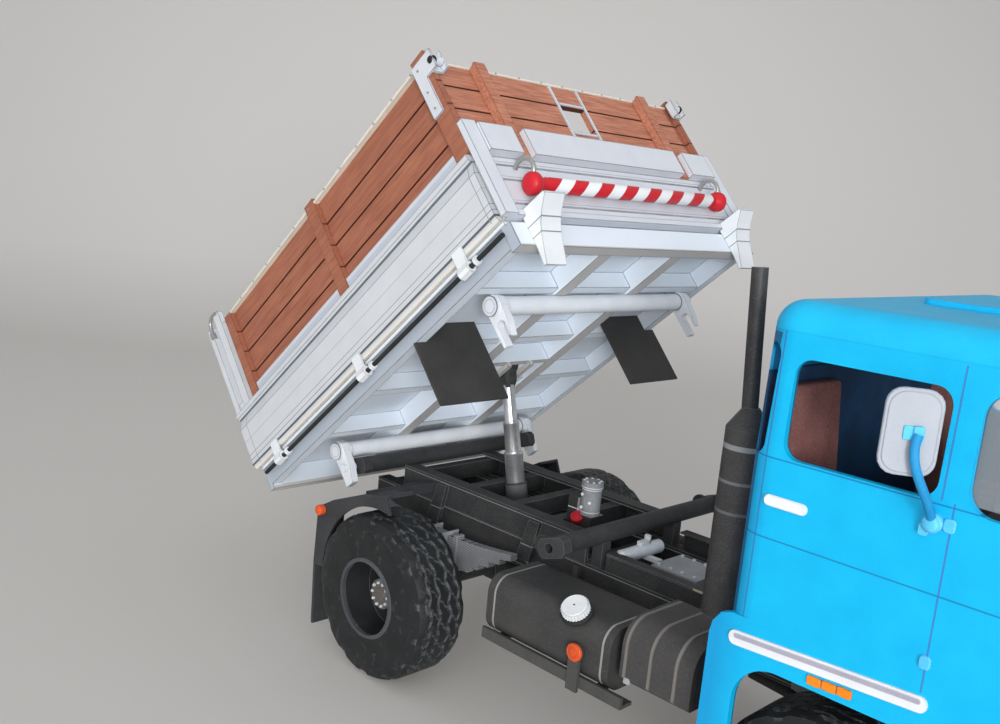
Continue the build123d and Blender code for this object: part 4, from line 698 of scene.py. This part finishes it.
# Lilac card for the painted shadow on the upper half of the white trim band.
shadow_strip_card = card("lilac_card", "#a9a5b4", "#9b98a8", "#e9ebee", 0.25, 0.8)
white_trim = card("white_strip_card", "#e1e4e8", "#d6dade", "#9aa3ab", 0.2, 0.5)
amber_print = card("amber_print", "#f08a1e", "#e87a12", "#b85c10", 0.15, 0.5, rough=0.4)
lighter_card = card("pale_blue_card", "#58bfe9", "#45b4e4", "#9ad8f2", 0.2, 0.6)
for side, name in both_sides:
    handle = slab((107.0, side * 47.45, 78.1), (115.1, side * 48.2, 80.1), 0.95, 1)
    put_together("door_handle_" + name, [handle], truck, handle_card, "chassis", bevel=0.2)
    slope = math.radians(3.2)
    run, rise = (math.cos(slope), 0, math.sin(slope)), (-math.sin(slope), 0, math.cos(slope))
    # The lilac strip is painted shadow, over the upper half of the white band.
    for part, width, height, up, out, finish in (
        ("band", 35.4, 2.7, 0.0, 0.5, white_trim), ("shade", 33.4, 1.0, 0.45, 0.62, shadow_strip_card),
    ):
        path = [(121.7, side * 47.4, 53.75 + up), (121.7, side * (47.4 + out), 53.75 + up)]
        strip = carry(rounded(width, height, min(1.25, height / 2 - 0.05)), path, run, rise)
        put_together(f"side_trim_{part}_{name}", [strip], truck, finish, "chassis")
    near, far = side * 47.45, side * 48.0
    marker = [
        slab((x, near, 50.2 + 0.15 * step), (x + 2.5, far, 51.8 + 0.15 * step), 0.3, 1)
        for step, x in enumerate((119.6, 122.3, 125.0))
    ]
    put_together("side_marker_" + name, marker, truck, amber_print, "chassis", bevel=0.12)
    hinges = [slab((136.9, near, z - 1.1), (138.7, far, z + 1.1), 0.6, 1) for z in (61.5, 83.5)]
    put_together("door_hinges_" + name, hinges, truck, lighter_card, "chassis", bevel=0.15)


# Mirrors: plates of two card layers, matt grey-lilac with a drawn rim, on a blue bracket and a bent blue
# arm that is hooked into a knob at the window's foot.
def tube(path, radius, sides=12):
    """A round rod along a path: a circle carried square to the path's own direction at each point."""
    path = np.asarray(path, float)
    direction = np.gradient(path, axis=0)
    direction /= np.linalg.norm(direction, axis=1)[:, None]
    other = np.eye(3)[np.argmin(np.abs(direction).sum(axis=0))]
    across = np.cross(direction, other)
    across /= np.linalg.norm(across, axis=1)[:, None]
    angle = np.linspace(0, 2 * math.pi, sides, endpoint=False)
    circle = np.stack((np.cos(angle), np.sin(angle)), axis=1) * radius
    return carry(circle, path, across, np.cross(direction, across))


mirror_card = card("grey_lilac_card", "#a2a8b0", "#abb0b9", "#8f939c", 0.35, 0.9)
dark_blue = card("mid_blue_card", "#1e8fc8", "#1982b9", "#5fc2ea", 0.2, 0.6)
steer = math.radians(34)  # how far the plates are turned towards the driver
mirror_plates = []
for side, name in both_sides:
    outward = np.array((math.sin(steer), side * math.cos(steer), 0))
    along = np.array((math.cos(steer), -side * math.sin(steer), 0))
    middle = np.array((131.8, side * 53.0, 97.2))
    layers = []
    for width, height, corner, shift, near, far in (
        (8.3, 13.2, 2.5, 0, -0.55, 0.35), (7.4, 12.3, 2.5, 0, 0.3, 0.5),
        (3.0, 2.1, 0.3, 0.3, 0.4, 0.9), (1.5, 2.4, 0.3, 0.9, 0.8, 1.4),
    ):
        path = [middle + along * shift + outward * depth for depth in (near, far)]
        layers.append(carry(rounded(width, height, corner), path, along, (0, 0, 1)))
    mirror_plates += layers[:2]
    clip = layers[2:]
    put_together("mirror_clip_" + name, clip, truck, lighter_card, "chassis", bevel=0.1)
    ends = np.array((
        middle + along * 0.9 + outward * 1.2, (132.6, side * 55.2, 92.4), (136.0, side * 53.2, 89.0),
        (135.3, side * 48.8, 84.2),
    ))
    share = np.linspace(0, 1, 24)[:, None]
    weights = np.hstack(
        ((1 - share) ** 3, 3 * share * (1 - share) ** 2, 3 * share ** 2 * (1 - share), share ** 3)
    )
    put_together(
        "mirror_arm_" + name, [tube(weights @ ends, 0.72, 14)], truck, dark_blue, "chassis",
        smooth=True,
    )
    button = ((-0.5, 1.5), (1.2, 1.5), (1.7, 1.1), (1.9, 0.4))
    knob = [
        turned(button, (135.4, side * 47.6, 83.4), (0, side, 0), 20),
        slab((133.6, side * 48.0 - 0.5, 81.2), (135.0, side * 48.0 + 0.5, 83.0), 0.3, 1),
    ]
    put_together("mirror_knob_" + name, knob, truck, lighter_card, "chassis", smooth=True)
put_together(
    "mirror_plates", mirror_plates, truck, mirror_card, "chassis", bevel=0.15,
    stands_for=("mirrors",),
)

# Inside the cab: seats of card printed in mauve-brown flecks like their cloth, above the dark dashboard.
# Clear thin film stands for the windows and leaves the inside in view.
seat_card = card(
    "flecked_brown_card", "#8e5f5a", "#784d49", "#4a2f2e", 0.2, 0.4, speck=0.75, speck_ink="#a98a86",
    rough=0.8,
)
dress(seat_card, "seats")
film, tree, shader = new_finish("clear_film", roughness=0.08)
shader.inputs["Base Color"].default_value = srgb("#dfe8ee")
shader.inputs["Alpha"].default_value = 0.14
dress(film, "windscreen")

# The nose: a grille of black card strips, a charcoal bumper folded from one sheet, and round headlamps
# whose pale lens is printed on card and slightly glossy.
dress(card("black_strip_card", "#26272a", "#323336", "#8a8f94", 0.2, 0.7), "grille")
bumper_card = card("folded_charcoal_card", "#3a3b3d", "#474849", "#6f7274", 0.2, 0.5, speck=0.25)
dress(bumper_card, "front_bumper")
dress(card("lens_print", "#dfe3e4", "#cfd5d8", "#9aa0a4", 0.2, 0.6, rough=0.25), "headlamps")

# Tip tubes and sockets: the black cross tubes that the bed's forks sit on, rolled from card and glued
# into folded socket plates, with a dark bore at each end.
dress(card("rolled_socket_card", "#2f3032", "#3b3b3c", "#777a7c", 0.2, 0.6, speck=0.3), "tip_tubes")

# Tipping ram: stages of rolled paper wrapped in kitchen foil that slide out of a black card barrel, with
# a black knurled head at the top pin. The foil is crinkled, its creases painted darker as painted shade,
# so it shines in broken streaks.
swing = Vector(joints["ram_swing"]["pos_m"])
slide = Vector(joints["ram_slide_1"]["axis"])
if slide.z < 0:
    slide = -slide
ram_axes = Matrix.Translation(swing) @ Matrix.Scale(MM, 4)
ram_line = np.array(slide)
crease_spacing = 1.43  # mm between the foil's creases


def along_ram(node):
    """How far up the ram's line a node starts and ends, in millimetres from its foot pin."""
    low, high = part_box(node)
    return (low[2] - swing.z) / slide.z / MM, (high[2] - swing.z) / slide.z / MM


def crease_shade(tree, colour):
    """Painted shade in the foil's creases: darker marks about 1.4 mm apart, where distorted noise is
    highest.
    """
    creases = {"Scale": 1 / (crease_spacing * MM), "Detail": 4.0, "Distortion": 1.5}
    folds = add(tree, "TexNoise", {"Vector": add(tree, "TexCoord")["Object"], **creases})[0]
    folds = add(tree, "MapRange", {"Value": folds, "From Min": 0.55, "From Max": 0.85})[0]
    return add(tree, "Mix", (folds, colour, srgb("#9a9c9e")), data_type="RGBA")[2]


foil = card("crinkled_foil", "#d9dadb", "#b4b6b8", "#5f6265", 0.1, 0.4, prints=crease_shade, rough=0.28)
foil.node_tree.nodes["Principled BSDF"].inputs["Metallic"].default_value = 0.75
for node, radius, bore, body, finish, slot in (
    ("ram_barrel", 3.05, 2.72, "barrel", black_card, "card_black"),
    ("ram_stage_1", 2.62, 2.3, "stage_1", foil, "foil"),
    ("ram_stage_2", 2.22, 1.86, "stage_2", foil, "foil"),
):
    start, stop = along_ram(node)
    start, stop = start + 0.6, stop - 0.5
    wall = [
        (start, radius), (stop - 0.8, radius), (stop - 0.7, radius + 0.08), (stop, radius + 0.08),
        (stop, bore),
    ]
    if node == "ram_barrel":
        wall = [(start, 0.3)] + wall + [(start + 0.6, bore), (start + 0.6, 0.3)]
        shapes = [turned(wall, (0, 0, 0), ram_line, 36)]
        for side in (-1, 1):
            shapes.append(turned(((2.74, 1.5), (5.2, 1.5)), (0, 0, 0), (0, side, 0), 24))
    else:
        shapes = [turned(wall + [(start, bore)], (0, 0, 0), ram_line, 36, hollow=True)]
    put_together("sleeve_" + node, shapes, ram_axes, finish, body, smooth=True, stands_for=(node,))
start, stop = along_ram("ram_rod")
rod_sleeve = turned(((start + 1.0, 1.78), (stop - 7.6, 1.78)), (0, 0, 0), ram_line, 32)
put_together("sleeve_ram_rod", [rod_sleeve], ram_axes, foil, "rod", smooth=True)
angle = np.linspace(0, 2 * math.pi, 48, endpoint=False)
knurl = 1.0 + 0.05 * np.cos(angle * 12)
square = np.stack((np.cos(angle) * knurl, np.sin(angle) * knurl), axis=1)
square *= (0.82 / np.maximum(np.abs(np.cos(angle)), np.abs(np.sin(angle))) ** 0.7)[:, None]
head_path = np.array([ram_line * (stop - height) for height in (8.4, 7.6, 6.6, 3.9)])
size = np.array((1.9, 2.15, 2.6, 2.75))[:, None]
head = carry(square, head_path, np.array((0, 1.0, 0)) * size, np.cross(ram_line, (0, 1.0, 0)) * size)
dress(black_card, "ram_rod")
put_together("ram_head", [head], ram_axes, black_card, "rod", bevel=0.1)


# Bed floor: white card box sections glued under a plain sheet. Every fold and cut edge has a thin drawn
# line, and the print is faintly blue in the cells and warm grey along the beams' feet. Along the sill's
# outer face a blue-grey band is partly print and partly painted shade.
underside = printed(
    bed, ("#b5b1ad", 0.8, (2, -20, 7.02), (3, 0, 45.4)), ("#d3dfec", 0.5, (2, 7.1, 13.7), (3, 0, 45.4)),
    # Partly print, partly painted shade: the blue-grey band on the sill's outer face.
    ("#96a1ae", 0.8, (2, -20, 13.0), (3, 45.5, 60)),
)
drawn_ink = "#4d5358"
floor_card = card("white_floor_card", "#dfe4ea", "#e5e8eb", drawn_ink, 0.42, 0.9, prints=underside)
dress(floor_card, "bed_floor")


# Cross tubes: rolled white card with a strap round each end, and an end disc drawn with a double ring;
# the forks below them drop over the tip tubes.
strap_lines = printed(bed, ("#6d7479", 1.0, (3, 33.7, 33.9)), ("#6d7479", 1.0, (3, 37.9, 38.1)))


def end_rings(tree, colour):
    """Lines beside the straps, and on each end disc two rings, where the distance from the tube's own
    line comes within 0.05 mm of their radius."""
    place = measure(tree, bed)
    side = add(tree, "Math", (place[1],), operation="ABSOLUTE")[0]
    on_end = add(tree, "Math", (side, 38.1), operation="GREATER_THAN")[0]
    for u in (0.0, 73.4):
        ahead = add(tree, "Math", (place[0], u), operation="SUBTRACT")[0]
        above = add(tree, "Math", (place[2], 5.2), operation="SUBTRACT")[0]
        away = add(tree, "CombineXYZ", {"X": ahead, "Z": above})[0]
        away = add(tree, "VectorMath", (away,), operation="LENGTH")["Value"]
        for radius in (1.75, 1.5):
            ring = add(tree, "Math", (away, radius, 0.05), operation="COMPARE")[0]
            ring = add(tree, "Math", (ring, on_end), operation="MULTIPLY")[0]
            ring = add(tree, "Math", (ring, 0.7), operation="MULTIPLY")[0]
            colour = add(tree, "Mix", (ring, colour, srgb("#6d7479")), data_type="RGBA")[2]
    return strap_lines(tree, colour)


tube_card = card("rolled_white_card", "#e3e6ea", "#d6dae0", "#7b8288", 0.2, 0.7, prints=end_rings)
dress(tube_card, "bed_tubes")
band = ((33.9, 2.2), (33.9, 2.42), (38.0, 2.42), (38.0, 2.2))
straps = [
    turned(band, (u, 0, 5.2), (0, side, 0), 36, hollow=True)
    for u in (0.0, 73.4) for side in (-1, 1)
]
put_together("tube_straps", straps, bed, tube_card, "bed", smooth=True)

# Front wall and boards: white card, painted darker as painted shade, with three ribs and box ledges below,
# and above it boards of card printed like stained planks. A peep window is framed with narrow white strips
# of the same darker card, and cream strips cap the top edge.
# The wall's white card is a darker copy, painted shade for a wall that faces away from the lamps.
shaded_wall_card = card("white_wall_card_painted_shade", "#c9cdd5", "#d1d4da", drawn_ink, 0.42, 0.9)
dress(shaded_wall_card, "front_wall")
streak_width = 0.625  # mm across the printed grain


def planks(along, limit, low, high):
    """Planks: streaks drawn out sixteen times along the grain, and a dark gap at each joint."""
    gaps = [("#5b2f23", 1.0, (2, w - 0.26, w + 0.26), (limit, low, high)) for w in (38.22, 44.85, 51.47)]

    def prints(tree, colour):
        place = measure(tree, bed)
        place[along] = add(tree, "Math", (place[along], 0.06), operation="MULTIPLY")[0]
        stretched = add(tree, "CombineXYZ", place)[0]
        streaks = {"Vector": stretched, "Scale": 1 / streak_width, "Detail": 5.0, "Roughness": 0.65}
        grain = add(tree, "TexNoise", streaks)[0]
        grain = add(tree, "MapRange", {"Value": grain, "From Min": 0.38, "From Max": 0.66})[0]
        grain = add(tree, "Math", (grain, 0.75), operation="MULTIPLY")[0]
        colour = add(tree, "Mix", (grain, colour, srgb("#87503d")), data_type="RGBA")[2]
        return printed(bed, *gaps)(tree, colour)
    return prints


# Card printed reddish brown, matt, its dark streaks running along each plank.
side_wood = card(
    "brown_plank_card", "#ab6e55", "#9d634d", "#4f281c", 0.34, 0.7, prints=planks(0, 1, -46.95, 46.95),
)
front_wood = card(
    "brown_front_card", "#c98a70", "#bb7c63", "#4f281c", 0.34, 0.7, prints=planks(1, 0, -30, 93.85),
)
dress(side_wood, "side_boards_right", "side_boards_left")
dress(front_wood, "front_boards", "tail_boards")
cream_card = card("cream_card", "#e3dfd2", "#d8d3c4", "#7b776c", 0.15, 0.6)
strips = [slab((93.7, side * 5.2 - 0.5, 38.0), (94.05, side * 5.2 + 0.5, 58.0)) for side in (-1, 1)]
strips += [slab((93.7, -4.7, w - 0.4), (94.05, 4.7, w + 0.4)) for w in (42.9, 52.2)]
put_together("peep_frame", strips, bed, shaded_wall_card, "bed", bevel=0.08)
trim = [slab((92.3, -44.6, 57.9), (94.1, 44.6, 58.5))]
trim += [slab((-16.8, side * 45.3, 57.9), (89.6, side * 46.95, 58.5)) for side in (-1, 1)]
put_together("top_trim", trim, bed, cream_card, "bed", bevel=0.08)
head = ((0, 0.3), (0.25, 0.26))
pins = [
    turned(head, (u, side * 46.9, 58.2), (0, side, 0), 6)
    for side in (-1, 1) for u in np.arange(-12, 89, 8.4)
]
pins += [turned(head, (94.0, y, 58.2), (1, 0, 0), 6) for y in np.arange(-40, 41, 8.0)]
# Grey ink on card that stands for steel pins.
steel_print = card("steel_print", "#7d8184", "#97999b", "#c5c8ca", 0.1, 0.6)
put_together("trim_pins", pins, bed, steel_print, "bed")


# Drop sides and tailgate: white card folded to a shallow tray section, matt, with panel lines drawn along
# it in greys and a warm cut edge at its foot. A ledge above carries the boards; its top face under them is
# painted grey-blue as painted shade.
side_lines_and_ledge_shade = printed(
    bed, *[
        (ink, 1.0, (2, w - half, w + half)) for w, half, ink in (
            (29.7, 0.16, "#6a7177"), (26.7, 0.10, "#8b9196"), (18.4, 0.10, "#8b9196"),
            (16.9, 0.10, "#7b8186"), (15.4, 0.30, "#565b60"), (22.6, 0.08, "#a3a8ac"),
        )
    ],
    *[("#8b9196", 1.0, (0, u - 0.12, u + 0.12), (2, 14.2, 29.4)) for u in (-22.4, 91.6)],
    # Painted shade: the grey-blue band on the ledge's top face, under the boards.
    ("#dcd6cb", 0.8, (2, -20, 14.6)), ("#b4bbc7", 1.0, (2, 31.85, 33.35), (3, 0, 47.0)),
)
side_card = card("white_side_card", "#cbcdd1", "#c5c8cc", drawn_ink, 0.42, 0.9, prints=side_lines_and_ledge_shade)
dress(side_card, "drop_side_right", "drop_side_left")
tail_lines = [(29.7, 0.14), (26.7, 0.1), (18.4, 0.1), (16.0, 0.2)]
tail_card = card(
    "white_tail_card", "#dfe3e7", "#e6e8ea", drawn_ink, 0.42, 0.9,
    prints=printed(bed, *[("#7b8186", 1.0, (2, w - half, w + half)) for w, half in tail_lines]),
)
dress(tail_card, "tailgate")

# Hinge tabs and lock rods: folded white tabs with rolled knuckles along the sill, and a black rod, rolled
# from paper, that runs through white collars.
tab_card = card("white_tab_card", "#e4e7e9", "#d9dcdf", "#5e6469", 0.2, 0.8)
dress(tab_card, "hinge_tabs")
dress(card("rolled_black_paper", "#1c1d1f", "#2b2c2d", "#6d7072", 0.1, 0.3), "lock_rods")
collars = [
    turned(((-0.55, 1.15), (0.55, 1.15)), (u, side * 47.2, 10.6), (1, 0, 0), 20)
    for u in (-7.6, 38.6, 83.6) for side in (-1, 1)
]
put_together("rod_collars", collars, bed, tab_card, "bed", bevel=0.15)

# Corner posts and plates: white card channels and plates with printed rivets. Black ball pins, smooth as
# beads, stand at the front, and a loop of bent steel wire at each rear post.
dress(card("white_post_card", "#d0d3d8", "#c7cbd0", drawn_ink, 0.38, 0.9), "corner_posts")
balls = []
plates = []
for side in (-1, 1):
    profile = [
        (math.cos(a) * -1.15, max(math.sin(a) * 1.15, 0.12))
        for a in np.linspace(0.1, math.pi - 0.1, 12)
    ]
    balls.append(turned(profile, (96.25, side * 46.9, 55.95), (0, side, 0), 20))
    plates += [
        turned(((-0.1, 0.34), (0.2, 0.3)), (91.7, side * 47.6, w), (0, side, 0), 10)
        for w in (46.0, 50.4, 56.6)
    ]
ball_card = card("smooth_black_card", "#17181b", "#222327", "#3a3c40", 0.1, 0.3, rough=0.25)
put_together("ball_pins", balls, bed, ball_card, "bed", smooth=True)
put_together("plate_rivets", plates, bed, steel_print, "bed")
wire = card("bent_steel_wire", "#a9aba8", "#8f918f", "#dedfdc", 0.1, 0.5, rough=0.3)
wire.node_tree.nodes["Principled BSDF"].inputs["Metallic"].default_value = 0.6
loops = []
for side in (-1, 1):
    bend = np.array((
        (-18.2, side * 46.7, 62.3), (-19.6, side * 46.8, 62.7), (-21.1, side * 46.8, 62.8),
        (-22.5, side * 46.8, 62.3), (-23.5, side * 46.8, 61.2), (-23.9, side * 46.8, 59.6),
        (-23.9, side * 46.8, 57.8),
    ))
    loops.append(tube(bend, 0.55, 10))
    loops.append(turned(((-0.8, 0.9), (0.8, 0.9)), (-23.9, side * 46.8, 57.6), (0, 0, 1), 14))
put_together("post_wires", loops, bed, wire, "bed", smooth=True)


# Prop bar: a white paper rod with red stripes printed aslant, its ends in round red knobs that hang from
# bent steel wire hooks. The print is smoother than the bed's card.
def stripes(tree, colour):
    """Slanted stripes, one pair every 9.4 mm, each moving by 1.1 mm for every millimetre of height, and
    solid red beyond 32.1 mm from the middle."""
    place = measure(tree, bed)
    turn = add(tree, "Math", (place[2], -1.1, 23.32), operation="MULTIPLY_ADD")[0]
    turn = add(tree, "Math", (turn, place[1]), operation="ADD")[0]
    turn = add(tree, "Math", (turn, 9.4), operation="DIVIDE")[0]
    turn = add(tree, "Math", (turn,), operation="FRACT")[0]
    red = add(tree, "Math", (turn, 0.5), operation="GREATER_THAN")[0]
    side = add(tree, "Math", (place[1],), operation="ABSOLUTE")[0]
    ends = add(tree, "Math", (side, 32.1), operation="GREATER_THAN")[0]
    red = add(tree, "Math", (red, ends), operation="MAXIMUM")[0]
    return add(tree, "Mix", (red, colour, srgb("#c4202b")), data_type="RGBA")[2]


bar_card = card("striped_paper", "#eceef0", "#e4e6e8", "#9c1a22", 0.1, 0.2, prints=stripes, rough=0.4)
knob = np.array((
    (32.0, 1.75), (33.0, 1.3), (33.9, 1.35), (34.8, 2.2), (35.6, 2.65), (36.8, 2.6), (37.5, 2.0),
    (37.8, 0.8),
))
bar = turned(np.concatenate((knob[::-1] * (-1, 1), knob)), (98.0, 0, 21.2), (0, 1, 0), 32)
put_together(
    "striped_prop_bar", [bar], bed, bar_card, "bed", smooth=True, stands_for=("prop_bar",),
)
hooks = []
for side in (-1, 1):
    bend = np.array((
        (95.4, side * 36, 27.2), (96.8, side * 36, 27.9), (98.4, side * 36, 27.8),
        (99.8, side * 36, 26.9), (100.4, side * 36, 25.4), (100.2, side * 36, 23.9),
        (99.3, side * 36, 22.9), (98.2, side * 36, 22.6),
    ))
    hooks.append(tube(bend, 0.55, 10))
put_together("wire_hooks", hooks, bed, wire, "bed", smooth=True, stands_for=("prop_hooks",))

# Guide brackets: folded white card plates that centre the lowered bed, whiter than the wall behind them,
# with a band wrapped round the middle and drawn edges.
guide_card = card(
    "bright_white_card", "#e3e6e9", "#dbdfe3", drawn_ink, 0.3, 0.85,
    prints=printed(bed, ("#7d8489", 1.0, (2, 8.08, 8.32)), ("#7d8489", 1.0, (2, 10.78, 11.02))),
)
dress(guide_card, "guide_brackets")

# Flaps: plain charcoal card that stands for rubber, glued by its top edge under the floor. Its flecked
# print is dull and warm.
flap_card = card(
    "plain_charcoal_card", "#353433", "#3f3e3c", "#6a6967", 0.12, 0.4, speck=0.25, speck_ink="#5a5a58",
)
dress(flap_card, "bed_flaps")
